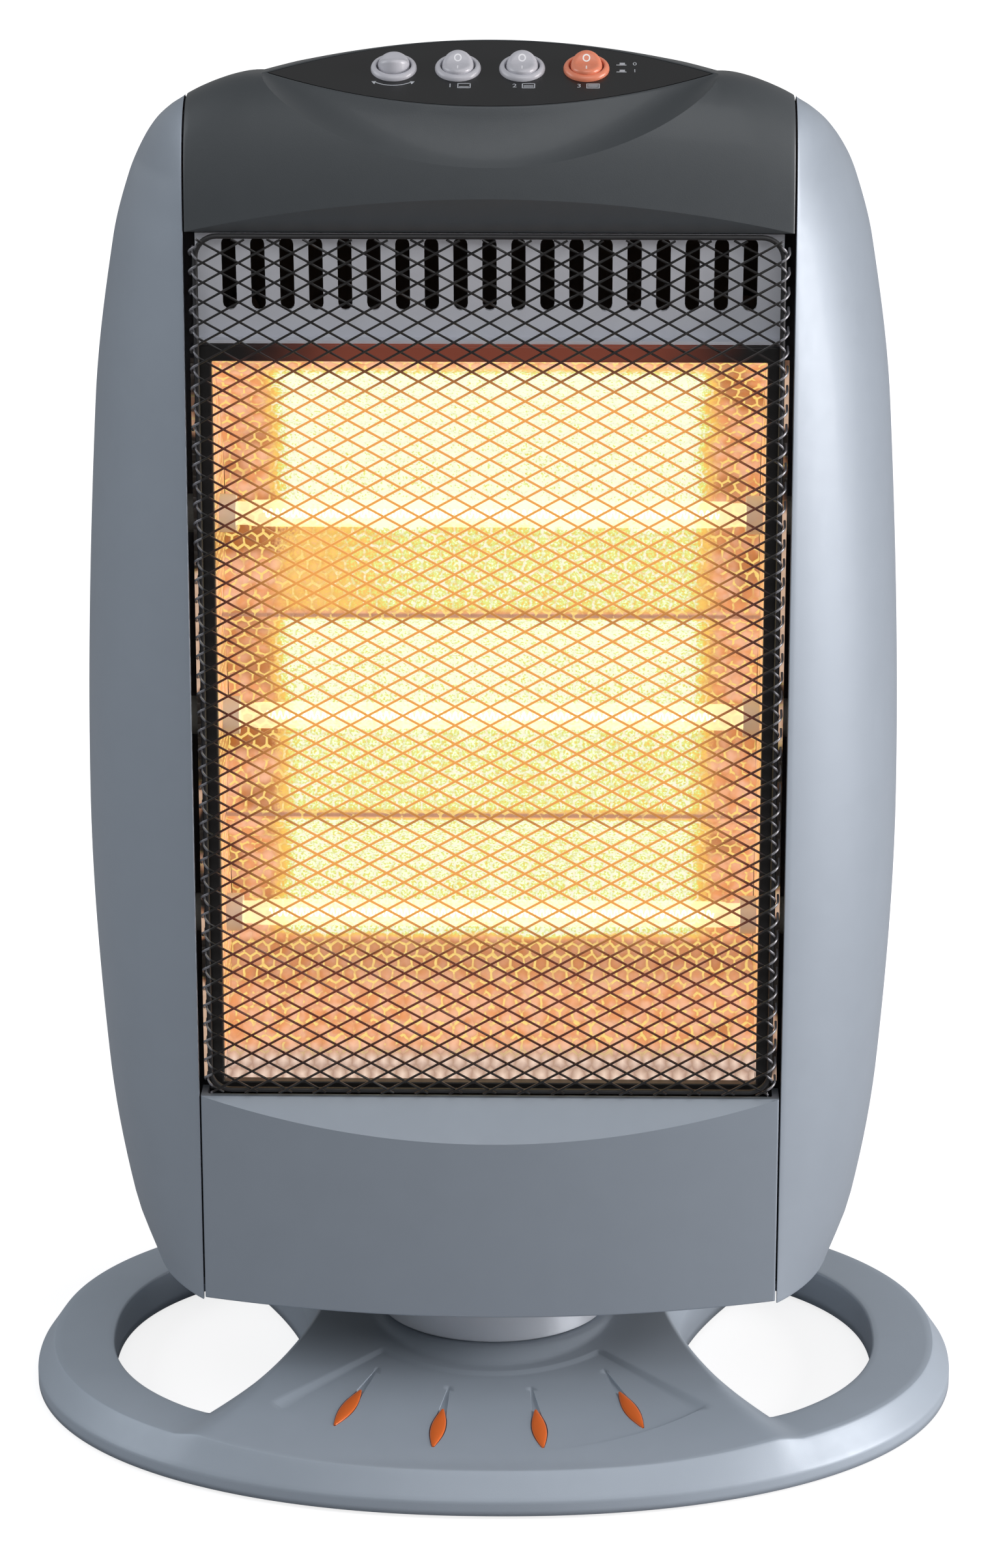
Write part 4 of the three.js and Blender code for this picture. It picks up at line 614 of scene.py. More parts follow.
def painted_glow_surface(name, settings, wall=False):
    """Embossed sheet with the lamps' light painted on it as emission: hexagons with painted highlights on
    their borders, on a ground painted from brown to white.

    The painted light falls off beyond the filament's ends and below the lowest lamp, with painted shadows
    under the sockets, and each ridge draws a thin darker painted line.
    """
    shader = Shader(name, Base_Color=(0.12, 0.09, 0.07), Roughness=0.35, Emission_Strength=settings.painted_glow)
    x, y, z = shader.millimetres()
    wander = shader.noise(220, 1.0) - 0.5
    u, v = (y, z) if wall else (x, z)
    border = hexagons(shader, u + wander * 2, v + wander * 2, settings.cell_size / MM)
    shader.bump(1 - border * border, 0.55, 0.9)
    patch = shader.noise(60, 2.0) - 0.5
    fleck = shader.noise(1100, 2.0) - 0.5

    # Painted lamp light from 0 to 1 over the three troughs, standing in for the lamps' light off the sheet;
    # the limits are heights in millimetres.
    ends = 1 - shader.step(abs(x) + patch * 12, 74, 88)
    behind_top_lamp = shader.step(z + patch * 5, 352, 357) * (1 - shader.step(z, 419, 425))
    dimmer_left = 1 - 0.5 * shader.step(x * -1 + patch * 30, 30, 70)
    under_top_lamp = 0.72 * shader.band(z, 325, 328, 352, 357) * dimmer_left
    middle = (0.76 + 0.18 * shader.step(z, 258, 300)) * shader.band(z, 246, 249, 322, 325)
    lowest = 0.84 * shader.step(z + patch * 4, 190, 194) * (1 - shader.step(z, 243, 246))
    painted_lamp_light = (behind_top_lamp + under_top_lamp + middle + lowest) * ends
    painted_lamp_light = painted_lamp_light + fleck * 1.7 * painted_lamp_light + patch * 0.3 * painted_lamp_light

    # Painted light: brown, orange, yellow and white in the order of the painted lamp light.
    mottle = shader.step(shader.noise(150, 2.0), 0.35, 0.65)
    ground = shader.blend(mottle, (0.76, 0.28, 0.1), (0.86, 0.44, 0.27))
    for low, high, colour in (
        (0.02, 0.5, (0.86, 0.52, 0.09)),
        (0.5, 0.74, (0.7, 0.8, 0.2)),
        (0.72, 0.95, (0.93, 1.0, 0.74)),
    ):
        ground = shader.blend(shader.step(painted_lamp_light, low, high), ground, colour)

    # Painted shadows: dark cells beyond the filaments, under the sockets and just below the lowest lamp.
    painted_shadow_spots = shader.step(shader.noise(45, 1.0), 0.5, 0.66) * shader.step(abs(x), 74, 84) * 0.75
    at_sockets = shader.most(shader.step(x * -1, 72, 78), shader.step(x, 76, 82) * 0.4)
    for height in LAMP_HEIGHTS[1:]:
        under = 1 - shader.step(abs(z - (height - 10)) + patch * 8, 6, 12)
        painted_shadow_spots = shader.most(painted_shadow_spots, under * at_sockets)
    below = shader.band(z, 172, 184, 189, 192)
    dark = shader.most(painted_shadow_spots * (1 - shader.step(painted_lamp_light, 0.1, 0.4)), below * 0.6)
    ground = shader.blend(dark, ground, (0.36, 0.1, 0.015))

    # Painted highlights on the borders of the cells, thin dark painted lines on the ridges, and the pale foot
    # of the sheet painted as lit.
    outline = shader.step(border, 0.76, 0.9)
    scattered = shader.step(shader.noise(330, 1.0), 0.42, 0.56)
    rim = outline * shader.most(shader.most(dark * 1.4, scattered), shader.step(painted_lamp_light, 0.2, 0.4) * 0.4)
    painted_highlight = shader.blend(shader.step(painted_lamp_light, 0.3, 0.8), (1.0, 0.72, 0.2), (1.0, 1.0, 0.8))
    lit = shader.blend(shader.least(rim, 1.0), ground, painted_highlight)
    on_ridge = [1 - shader.step(abs(z - height), 0.4, 1.1) for height in ridge_heights()]
    ridge = shader.most(*on_ridge) * (1 - 0.8 * outline * scattered)
    lit = shader.blend(ridge, lit, (0.42, 0.19, 0.12))
    foot = 1 - shader.step(z, 153, 160)
    lit = shader.blend(foot, lit, shader.blend(border, (0.8, 0.62, 0.52), (0.44, 0.28, 0.22)))
    # Painted highlight: the wall's front flange pale, as lit metal.
    if wall:
        flange = (1 - shader.step(y, -65.38, -65.2)) * shader.step(shader.noise(24, 2.0), 0.44, 0.5)
        lit = shader.blend(flange, lit, (0.62, 0.42, 0.3))
        front = shader.most(1 - shader.step(abs(x), 101.2, 101.6), flange)
    else:
        front = shader.axes(shader.place())[0]
    # Painted shade: the glow only on the faces towards the lamps, and dimmer towards the borders of the
    # cells.
    shade = front * (0.86 + 0.14 * (1 - border * border))
    painted_glow = shader.node("ShaderNodeVectorMath", {"operation": "SCALE"}, {0: lit, "Scale": shade})
    shader.set(Emission_Color=painted_glow)
    return shader.material


def wire_with_painted_glare(settings):
    """Dark wire with the orange glare of the lamps painted as emission where it crosses them, and a painted
    highlight where it folds back at the sides.
    """
    shader = Shader("Guard wire", Metallic=0.4, Coat_Weight=0.3, Emission_Strength=1.0)
    x, _, z = shader.millimetres()
    dark = tuple(settings.wire_colour)
    ground = shader.blend(shader.noise(90), tuple(c * 0.8 for c in dark), tuple(c * 1.3 for c in dark))
    # Painted highlight: the wires lighter where they fold back at the sides, as they catch the light there.
    shader.set(Base_Color=shader.blend(shader.step(abs(x), 104.6, 105.6), ground, (0.2, 0.2, 0.22)))
    shader.set(Roughness=0.32 + 0.16 * shader.noise(240))
    # Painted glare: orange emission where the wires cross the lit reflector, weaker over its ridges.
    hot = (1 - shader.step(abs(x), 66, 98)) * shader.band(z, 200, 222, 412, 430)
    painted_glare_area = (1 - shader.step(abs(x), 92, 103)) * shader.band(z, 152, 190, 420, 434)
    ridge = 1 - 0.4 * ((1 - shader.step(abs(z - 334), 1.5, 5)) + (1 - shader.step(abs(z - 256.5), 1.5, 5)))
    tone = shader.blend(hot * ridge, (0.12, 0.022, 0.009), (0.86, 0.36, 0.08))
    shader.set(Emission_Color=shader.blend(painted_glare_area, (0.0, 0.0, 0.0), tone))
    return shader.material


def sheet_with_painted_glow(name, colour, roughness, painted_glow):
    """Dark sheet with a red-brown glow painted along the reflector's mouth, as light from the lamps."""
    shader = Shader(name, Metallic=0.2, Emission_Strength=1.0)
    shader.varied(colour, roughness)
    x, _, z = shader.millimetres()
    # Painted glow: red-brown emission in a band along the reflector's mouth.
    painted_glow_band = shader.step(z, 426, 429) * (1 - shader.step(abs(x) + 30 * (shader.noise(40) - 0.5), 45, 92))
    shader.set(Emission_Color=shader.blend(painted_glow_band, (0.0, 0.0, 0.0), painted_glow))
    shader.bump(shader.noise(1500, 2.0), 0.03)
    return shader.material


def rocker_material(name, colour, mark):
    """Moulded rocker with a ring on one half and a bar on the other, drawn from its own coordinates."""
    shader = Shader(name, Roughness=0.3, Coat_Weight=0.25)
    x, y, top = shader.axes(shader.place())
    ring = abs((x * x + (y - 2.1) ** 2) ** 0.5 - 1.15)
    on_ring = 1 - shader.step(ring, 0.17, 0.3)
    on_bar = (1 - shader.step(abs(x), 0.14, 0.26)) * (1 - shader.step(abs(y + 2.6), 1.1, 1.25))
    drift = shader.noise(400, 2.0)
    ground = shader.blend(drift, tuple(c * 0.95 for c in colour), colour)
    shader.set(Base_Color=shader.blend(shader.most(on_ring, on_bar) * top, ground, mark))
    return shader.material


def glass(name):
    """Fused quartz: white hot round the filament, with a brown glow painted on its pinched ends, as light
    they catch from the reflector.
    """
    shader = Shader(name, Base_Color=(0.04, 0.015, 0.005), Roughness=0.2, Emission_Strength=1.0)
    shader.set(IOR=1.46, Specular_IOR_Level=0.15)
    x, _, _ = shader.millimetres()
    hot = 1 - shader.step(abs(x) + 6 * (shader.noise(300, 1.0) - 0.5), 87, 92)
    # Lamp light round the filament; the brown at the pinched ends is painted glow.
    shader.set(Emission_Color=shader.blend(hot, (0.34, 0.12, 0.035), (1.0, 1.0, 0.82)))
    return shader.material


def ceramic_with_painted_glow(name):
    """Rough ceramic with a brown glow painted on it inside the reflector, as light from the lamps."""
    shader = Shader(name, Specular_IOR_Level=0.1, Emission_Strength=1.0)
    shader.varied((0.05, 0.025, 0.015), 0.65, 0.08)
    x, _, _ = shader.millimetres()
    # Painted glow: brown emission on the parts inside the reflector.
    outside = shader.step(abs(x), 100, 103)
    shader.set(Emission_Color=shader.blend(outside, (0.42, 0.15, 0.05), (0.0, 0.0, 0.0)))
    shader.bump(shader.noise(1600, 2.0), 0.05)
    return shader.material


def plain_glow(name, colour, strength):
    """Light given off evenly, a little mottled."""
    shader = Shader(name, Roughness=0.5, Emission_Strength=strength)
    shader.set(Emission_Color=shader.blend(shader.noise(500), tuple(c * 0.9 for c in colour), colour))
    return shader.material


def material(key, settings):
    """The finish of that name, made once."""
    if key in bpy.data.materials:
        return bpy.data.materials[key]
    pebble, pebble_accent = tuple(settings.pebble), tuple(settings.pebble_accent)
    # Colour, roughness, metallic, depth and size of the grain, coat, drift of tone.
    paints = {
        "silver": (tuple(settings.silver), 0.44, 0.2, 0.012, 0.35, 0.08, 0.03),
        # The base's silver is the head's lacquer made lighter, a painted highlight for the light that falls
        # on the base.
        "lit_silver_base": (tuple(settings.lit_silver_base), 0.46, 0.15, 0.02, 0.35, 0.05, 0.03),
        "charcoal": (tuple(settings.charcoal), 0.46, 0.1, 0.03, 0.4, 0.1),
        "gloss": (tuple(settings.gloss), 0.3, 0.0, 0.004, 3.0, 0.15),
        "accent": (tuple(settings.accent), 0.3, 0.0, 0.01, 2.0, 0.5),
        "pebble": (pebble, 0.34, 0.0, 0.01, 1.0, 0.2),
        "pebble_accent": (pebble_accent, 0.34, 0.0, 0.01, 1.0, 0.2),
        "baffle": ((0.72, 0.74, 0.8), 0.4, 0.15, 0.02, 1.5, 0.0, 0.05),
        "chrome": ((0.62, 0.66, 0.72), 0.42, 0.55),
        "steel": ((0.5, 0.52, 0.55), 0.32, 1.0, 0.01, 0.3, 0.0, 0.08),
        "brass": ((0.6, 0.44, 0.16), 0.3, 1.0, 0.01, 0.3, 0.0, 0.08),
        "rubber": ((0.015, 0.015, 0.015), 0.8, 0.0, 0.05, 0.4),
        "black": ((0.02, 0.02, 0.022), 0.5, 0.0, 0.03, 0.5),
        "legend": ((0.5, 0.52, 0.56), 0.5),
    }
    others = {
        "rocker": lambda: rocker_material(key, pebble, (0.9, 0.9, 0.94)),
        "rocker_accent": lambda: rocker_material(key, pebble_accent, (1.0, 0.97, 0.94)),
        "wire": lambda: wire_with_painted_glare(settings),
        "frame": lambda: sheet_with_painted_glow(key, (0.012, 0.011, 0.011), 0.4, (0.16, 0.035, 0.018)),
        "ceramic": lambda: ceramic_with_painted_glow(key),
        "reflector": lambda: painted_glow_surface(key, settings),
        "reflector_wall": lambda: painted_glow_surface(key, settings, True),
        "quartz": lambda: glass(key),
        "filament": lambda: plain_glow(key, (1.0, 0.9, 0.6), 2.0),
    }
    made = painted(key, *paints[key]) if key in paints else others[key]()
    made.name = key
    return made


# ---- Pieces of the head ----


def build_side_panels(settings):
    """Two shells: plan curves stacked over the height, the wall thinning towards the pointed top."""
    low = np.array([0, 0.1, 0.25, 0.6, 1.5]) / (SHOULDER_Z - HEAD_BOTTOM)
    tip = 1 - 0.14 * np.linspace(1, 0.004, 44)[1:] ** 1.7
    share = np.concatenate([low, np.linspace(0.01, 0.86, 56), tip])
    z = HEAD_BOTTOM + (SHOULDER_Z - HEAD_BOTTOM) * share
    lip = SOFT - np.sqrt(SOFT**2 - (SOFT - np.minimum(z - HEAD_BOTTOM, SOFT)) ** 2)
    outer = rounded_ends(side_curve(z, lip, 65), ([0, 1, 0], [0, -1, 0]), SOFT)
    inner = side_curve(z, WALL * np.clip((1 - share) / 0.1, 0.02, 1), outer.shape[1])
    for side, name in ((1, "right_side_panel"), (-1, "left_side_panel")):
        flip = np.array([side, 1, 1])
        mesh = Shape().shell(outer * flip, inner * flip).mesh(name + "_shell")
        finish_piece(name + "_shell", mesh, material("silver", settings), "head", (name,))


def cover_section(x, inset):
    """Sections of the top cover at stations x, from the front edge over the crest to the rear edge.

    Front: heights by a quarter sine up to the chin. Then the chin as a hollow parabola, the slope with the
    seat of the control panel, and the rear face with heights by a quarter cosine.
    """
    x = np.asarray(x, float)[:, None]
    e = eye_share(x)
    top_y, top_z = crest(x)
    in_eye = e > 0
    low = GUARD_TOP + BROW_FACET * bulge(x)
    chin = EYE_TIP_Z - CHIN_DROP * e**CHIN_POWER
    high = np.where(in_eye, chin - inset * 1.2, top_z - inset)
    z = low + (high - low) * np.sin(np.linspace(0, math.pi / 2, 22))
    front = points(x, front_y(x, z, inset), z)
    start = points(x, column_front(COLUMN_HALF, GUARD_TOP) + inset, GUARD_TOP + 0 * x)
    seat = PANEL_SEAT * np.minimum(1, e * 3) if inset else 0 * e
    sink = np.maximum(inset, seat)
    edge = points(
        x,
        np.where(in_eye, EYE_TIP_Y - EYE_RUN * e + sink, top_y),
        np.where(in_eye, EYE_TIP_Z - EYE_RISE * e - sink, top_z - inset),
    )
    ridge_z = np.where(in_eye, top_z - sink * 1.1, top_z - inset)
    ridge = points(x, np.where(in_eye, top_y - sink * 0.3, top_y), ridge_z)
    share = np.linspace(0, 1, 26)[1:]
    rear_z = GUARD_TOP + (ridge[..., 2] - GUARD_TOP) * np.cos(share * math.pi / 2)
    rear_y = back_y(x, rear_z, inset)
    rear_y = np.where(in_eye & (inset > 0), np.maximum(rear_y, ridge[..., 1]), rear_y)
    rear = points(x, rear_y, rear_z)
    seat_share = np.maximum(0, 1 - (x / (EYE_HALF_WIDTH - 3 * SEAT_BORDER)) ** 2)
    half_seat = (EYE_HALF_LENGTH - SEAT_BORDER) * seat_share
    depth = 0 if inset else SEAT_DEPTH * np.minimum(1, half_seat / 0.3)
    step = np.concatenate([-half_seat, -half_seat, half_seat, half_seat], axis=1)
    across = (step + EYE_HALF_LENGTH * e) / np.maximum(2 * EYE_HALF_LENGTH * e, 1e-6)
    slope = edge + (ridge - edge) * np.clip(across, 0, 1)[..., None]
    upright = np.array([0, -math.sin(EYE_TILT), math.cos(EYE_TILT)])
    slope = slope - upright * (depth * np.array([0, 1, 1, 0]))[..., None]
    foot, t = front[:, -1:], np.linspace(0, 1, 11)[1:-1, None]
    hollow_y = edge[..., 1] + (foot[..., 1] - edge[..., 1]) * CHIN_HOLLOW_Y
    hollow = points(0, hollow_y, foot[..., 2] + (edge[..., 2] - foot[..., 2]) * CHIN_HOLLOW_Z)
    hollow[..., 0] = foot[..., 0]
    chin_face = foot * (1 - t) ** 2 + hollow * 2 * t * (1 - t) + edge * t**2
    radius = 0.0 if inset else SOFT
    lip = rounded_corner(start[:, 0] + [0, 3, 0], start[:, 0], front[:, 0], radius)
    brow = rounded_corner(chin_face[:, -1], edge[:, 0], slope[:, 0], radius * 0.7)
    return np.concatenate([lip, front, chin_face, brow, slope, ridge, rear], axis=1)


def build_top_cover(settings):
    """Shell of sections across the head, closer at the panel's tips, ending in quarter circles."""
    edge = COLUMN_HALF - SEAM / 2
    half = np.concatenate([
        np.linspace(0, EYE_HALF_WIDTH - 3, 40),
        EYE_HALF_WIDTH - np.array([2.5, 2, 1.7, 1.5, 1.1, 0.6, 0]),
        np.linspace(EYE_HALF_WIDTH, edge - SOFT, 20)[1:],
        edge - np.array([0.35, 0.15, 0]),
    ])
    drop = SOFT - np.sqrt(SOFT**2 - np.clip(half - (edge - SOFT), 0, SOFT) ** 2)
    x = np.concatenate([-half[:0:-1], half])
    drop = np.concatenate([drop[:0:-1], drop])[:, None, None]
    outer = cover_section(x, 0.0)
    inner = cover_section(x, WALL)
    outer = outer + unit(inner - outer) * drop
    mesh = Shape().shell(outer, inner).mesh("top_cover_shell")
    finish = material("charcoal", settings)
    finish_piece("top_cover_shell", mesh, finish, "head", ("top_cover",), 24)


def on_slope():
    """Place of the control panel's own frame."""
    return Matrix.Translation((0, EYE_TIP_Y, EYE_TIP_Z)) @ Matrix.Rotation(EYE_TILT, 4, "X")


def build_switches(settings):
    """Bezels turned from a quarter ellipse, and rockers: discs with a shallow valley and a rounded rim."""
    arc = np.linspace(0, math.pi / 2, 9)
    crown_radius = SWITCH_BORE + (BEZEL_RADIUS - SWITCH_BORE) * np.cos(arc)
    crown = np.stack([crown_radius, GAP + (BEZEL_HEIGHT - GAP) * np.sin(arc) ** 0.9], axis=1)
    profile = [
        (0, -SWITCH_DEPTH),
        (SWITCH_BODY_RADIUS, -SWITCH_DEPTH),
        (SWITCH_BODY_RADIUS, 0.05),
        (BEZEL_RADIUS, 0.05),
        *crown,
        (SWITCH_BORE - 0.25, BEZEL_HEIGHT - 0.1),
        (SWITCH_BORE - 0.4, BEZEL_HEIGHT - 0.5),
        (SWITCH_BORE, -SWITCH_FLOOR),
        (0, -SWITCH_FLOOR),
    ]
    columns = np.linspace(0, 2 * math.pi, 96, endpoint=False)
    soft = 1.9
    r = ROCKER_RADIUS - soft + soft * np.sin(np.linspace(0, math.pi / 2, 8))
    r = np.concatenate([np.linspace(0, ROCKER_RADIUS - soft, 10)[:-1], r])[:, None]
    x, y = r * np.cos(columns), r * np.sin(columns)
    valley = ROCKER_WAIST + (ROCKER_RIM - ROCKER_WAIST) * (np.sqrt(y**2 + 0.5) - 0.5) / 6.2
    fall = soft - np.sqrt(np.maximum(0, soft**2 - np.maximum(0, r - ROCKER_RADIUS + soft) ** 2))
    top = points(x, y, valley - fall)
    side = points(x[-1], y[-1], (valley - fall)[-1] * np.array([[0.6], [0.3]]) - np.array([[0.4], [0.7]]))
    keel = points(x[-1:] * 0.6, y[-1:] * 0.6, -4.0)
    pole = points(x[-1:] * 0, y[-1:] * 0, -4.0)
    rows = np.concatenate([top, side, keel, pole])
    on_top = np.concatenate([np.ones(len(top)), np.zeros(4)])[:, None, None]
    places = np.concatenate([rows[..., :2], np.broadcast_to(on_top, rows.shape[:2] + (1,))], axis=-1)
    for i, at in enumerate(SWITCH_XS):
        last = i == len(SWITCH_XS) - 1
        centre = on_slope() @ Matrix.Translation((at, SWITCH_V, 0))
        bezel = Shape().turned(profile).moved(centre).mesh(f"bezel_{i + 1}")
        finish = material("pebble_accent" if last else "pebble", settings)
        finish_piece(f"bezel_{i + 1}", bezel, finish, "head", (f"switch_body_{i + 1}",))
        tilt = Matrix.Rotation(ROCKER_TILT * (1 if i else -1), 4, "X")
        turn = Matrix.Translation((0, 0, ROCKER_PIVOT)) @ tilt
        shape = Shape().grid(rows, wrap_columns=True, places=places).moved(centre @ turn)
        finish = material(("pebble", "rocker", "rocker", "rocker_accent")[i], settings)
        body = f"rocker_body_{i + 1}"
        rocker = shape.mesh(f"pebble_{i + 1}")
        finish_piece(f"pebble_{i + 1}", rocker, finish, body, (f"rocker_{i + 1}",), 50)


def flat_text(words, size, x, y):
    """Characters as flat faces in the panel's frame, centred at x and y."""
    curve = bpy.data.curves.new("legend", "FONT")
    curve.body = words
    curve.size = size
    curve.align_x = "CENTER"
    curve.align_y = "CENTER"
    holder = bpy.data.objects.new("legend", curve)
    mesh = bpy.data.meshes.new_from_object(holder)
    where = np.zeros(len(mesh.vertices) * 3)
    mesh.vertices.foreach_get("co", where)
    faces = [list(face.vertices) for face in mesh.polygons]
    bpy.data.objects.remove(holder)
    bpy.data.curves.remove(curve)
    bpy.data.meshes.remove(mesh)
    return where.reshape(-1, 3) + [x, y, 0], faces


def flat_bar(x, y, width, height):
    """One rectangle in the panel's frame."""
    corners = np.array([[-1, -1, 0], [1, -1, 0], [1, 1, 0], [-1, 1, 0]]) * [width / 2, height / 2, 0]
    return corners + [x, y, 0]


def build_legends(settings):
    """Plain numerals and small pictograms beside the switches, lying just above the panel."""
    shape = Shape()

    def bar(*where):
        shape.add(flat_bar(*where), [[0, 1, 2, 3]])

    def words(text, size, x, y):
        where, faces = flat_text(text, size, x, y)
        for face in faces:
            shape.add(where[face], [list(range(len(face)))])

    # Beside each lamp's switch its number and a window with as many bars.
    for i, at in enumerate(SWITCH_XS[1:]):
        words(str(i + 1), 3.4, at - 2.6, -8.4)
        for z in (-7.0, -9.8):
            bar(at + 2.4, z, 4.4, 0.35)
        for x in (0.2, 4.6):
            bar(at + x, -8.4, 0.35, 3.1)
        for row in range(i + 1):
            bar(at + 2.4, -9.1 + row * 0.75, 3.6, 0.4)

    # Under the first switch a bow with a point at both ends.
    angle = np.radians(np.linspace(-125, -55, 15))
    bow = [radius * points(np.cos(angle), np.sin(angle), 0) for radius in (10.6, 11.0)]
    shape.grid(np.stack(bow) + [SWITCH_XS[0], SWITCH_V, 0])
    for side in (-1, 1):
        tip = np.array([SWITCH_XS[0] + side * 6.9, -6.4, 0])
        corners = np.array([[side * 0.9, 0.7, 0], [-side * 0.9, 0.8, 0], [-side * 0.2, -1.2, 0]])
        shape.add(tip + corners, [[0, 1, 2]])

    # At the right the two states of a switch.
    for row, text in ((6.2, "0"), (1.6, "1")):
        words(text, 3.0, SWITCH_XS[3] + 17.4, row)
        bar(SWITCH_XS[3] + 12.6, row - 0.7, 3.6, 0.5)
        bar(SWITCH_XS[3] + 12.9, row + 0.2, 1.9, 1.2)
    lifted = on_slope() @ Matrix.Translation((0, 0, 0.04))
    mesh = shape.moved(lifted).mesh("panel_legends")
    finish_piece("panel_legends", mesh, material("legend", settings), "head")


def build_lower_panel(settings):
    """Front panel: columns across, rows from the sagging lower edge to the crease, then the lens facet."""
    half = COLUMN_HALF - SEAM / 2
    x = np.linspace(-half, half, 81)
    bottom = HEAD_BOTTOM + 1 - LIP_SAG * bulge(x)
    crease = GUARD_BOTTOM - SILL_FACET * bulge(x)
    lip = np.array([0, 0.1, 0.25, 0.6])[:, None]
    share = np.linspace(0, 1, 25)[1:, None]
    z = np.concatenate([bottom + lip, bottom + 0.6 + (crease - bottom - 0.6) * share])
    tuck = SOFT - np.sqrt(SOFT**2 - (SOFT - np.minimum(z - bottom, SOFT)) ** 2)
    y = column_front(x, z) + tuck
    facet = np.linspace(0, 1, 9)[1:-1, None]
    sill_y = column_front(COLUMN_HALF, GUARD_BOTTOM)
    z = np.concatenate([z, crease + (GUARD_BOTTOM - 0.35 - crease) * facet, [GUARD_BOTTOM - 0.35 + 0 * x]])
    y = np.concatenate([y, y[-1] + (sill_y - y[-1]) * facet, [sill_y + 0 * x]])
    z = np.concatenate([z, [GUARD_BOTTOM - 0.1 + 0 * x, GUARD_BOTTOM + 0 * x]])
    y = np.concatenate([y, [sill_y + 0.1 + 0 * x, sill_y + 0.4 + 0 * x]])
    face = rounded_ends(points(x, y, z), ([0, 1, 0], [0, 1, 0]), SOFT)
    returns = [face[:, [end]] + [0, 11, 0] for end in (0, -1)]
    outer = np.concatenate([returns[0], face, returns[1]], axis=1)
    inner = outer * [(half - WALL) / half, 1, 1] + [0, WALL, 0]
    inner[:, [0, -1], 1] = outer[:, [0, -1], 1]
    mesh = Shape().shell(outer, inner).mesh("lower_panel_shell")
    finish = material("silver", settings)
    finish_piece("lower_panel_shell", mesh, finish, "head", ("lower_front_panel",), 12)


def build_guard(settings):
    """Diamond mesh of round wires, folded back round its side rods, in a rod that runs all round.

    A wire follows its unrolled length s: straight across, a quarter circle at the fold, straight back.
    """
    radius = settings.wire_radius / MM
    fold = GUARD_FOLD * math.pi / 2
    far = GUARD_EDGE + fold + 2.6
    slope = MESH_HEIGHT / MESH_WIDTH
    middle = (GUARD_LOW + GUARD_HIGH) / 2
    reach = (GUARD_HIGH - GUARD_LOW) / 2 / slope
    bends = np.concatenate([[GUARD_EDGE - 0.01], GUARD_EDGE + fold * np.linspace(0.2, 1, 5), [far]])
    stops = np.concatenate([-bends[::-1], bends])
    count = int((far + reach) / MESH_WIDTH)
    shape = Shape()
    for side, lift in ((1, 0.0), (-1, 1.1)):
        foot = (np.arange(-count, count + 1) + 0.5) * MESH_WIDTH
        foot = foot[np.abs(foot) < far + reach - 3]
        low, high = np.maximum(foot - reach, -far)[:, None], np.minimum(foot + reach, far)[:, None]
        s = np.clip(stops, low, high)
        z = middle + (s - foot[:, None]) * slope * side
        beyond = np.maximum(np.abs(s) - GUARD_EDGE, 0)
        phi = np.minimum(beyond / GUARD_FOLD, math.pi / 2)
        back = np.maximum(beyond - fold, 0)
        ring = GUARD_FOLD - lift
        x = np.sign(s) * (np.minimum(np.abs(s), GUARD_EDGE) + ring * np.sin(phi))
        y = GUARD_FRONT + GUARD_FOLD - ring * np.cos(phi) + back
        normal = points(np.sign(s) * np.sin(phi), -np.cos(phi), 0 * s)
        gaps = np.abs(np.diff(s, axis=1, prepend=low - 1)) < 1e-6
        lines = points(x, y, z)
        lines = lines + np.where(gaps, np.cumsum(gaps, axis=1) * 1e-4, 0)[..., None] * [1, 0, slope * side]
        shape.tubes(lines, radius, normal, 6)
    wires = shape.mesh("guard_mesh")
    finish_piece("guard_mesh", wires, material("wire", settings), "head", ("guard_grille",), 60)

    corner = ROD_CORNER
    turn = np.radians(np.linspace(0, 90, 9))
    x1, z0, z1 = GUARD_EDGE + 1.0, GUARD_LOW, GUARD_HIGH + 0.6
    loop = []
    for cx, cz, start in (
        (x1 - corner, z1 - corner, 0),
        (corner - x1, z1 - corner, 90),
        (corner - x1, z0 + corner, 180),
        (x1 - corner, z0 + corner, 270),
    ):
        angle = turn + math.radians(start)
        loop.append(points(cx + corner * np.cos(angle), 0 * angle, cz + corner * np.sin(angle)))
    rim = np.concatenate(loop)
    rods = Shape().tubes(rim[None] + [0, ROD_Y, 0], ROD_RADIUS, np.array([0.0, -1.0, 0.0]), 12, closed=True)
    mesh = rods.mesh("guard_rods")
    finish_piece("guard_rods", mesh, material("black", settings), "head", (), 60)


def build_reflector(settings):
    """Pressed sheet: one parabola behind each lamp, meeting in ridges, closed at the ends by flat walls."""
    edges = [REFLECTOR_BOTTOM, *ridge_heights(), REFLECTOR_TOP]
    heights, depths = [], []
    for i, centre in enumerate(LAMP_HEIGHTS):
        low, high = edges[i], edges[i + 1]
        z = np.linspace(low, high, 41)[(1 if i else 0):]
        below = z < centre
        rim_below = REFLECTOR_MOUTH if i == 0 else REFLECTOR_RIDGE
        rim = np.where(below, rim_below, REFLECTOR_MOUTH if i == 2 else REFLECTOR_RIDGE)
        share = np.where(below, (centre - z) / (centre - low), (z - centre) / (high - centre))
        heights.append(z)
        depths.append(REFLECTOR_BACK + (rim - REFLECTOR_BACK) * share**2)
    z, y = np.concatenate(heights)[:, None], np.concatenate(depths)[:, None]
    x = np.linspace(-REFLECTOR_HALF, REFLECTOR_HALF, 41)
    front = points(x, y, z)
    mesh = Shape().shell(front, front + [0, 1.2, 0]).mesh("reflector_sheet")
    finish = material("reflector", settings)
    finish_piece("reflector_sheet", mesh, finish, "head", ("reflector",))
    for side in ("left", "right"):
        refined("reflector_end_" + side, material("reflector_wall", settings))
    refined("grille_frame", material("frame", settings), bevel=0.6)
    refined("vent_baffle", material("baffle", settings), sharp=35)


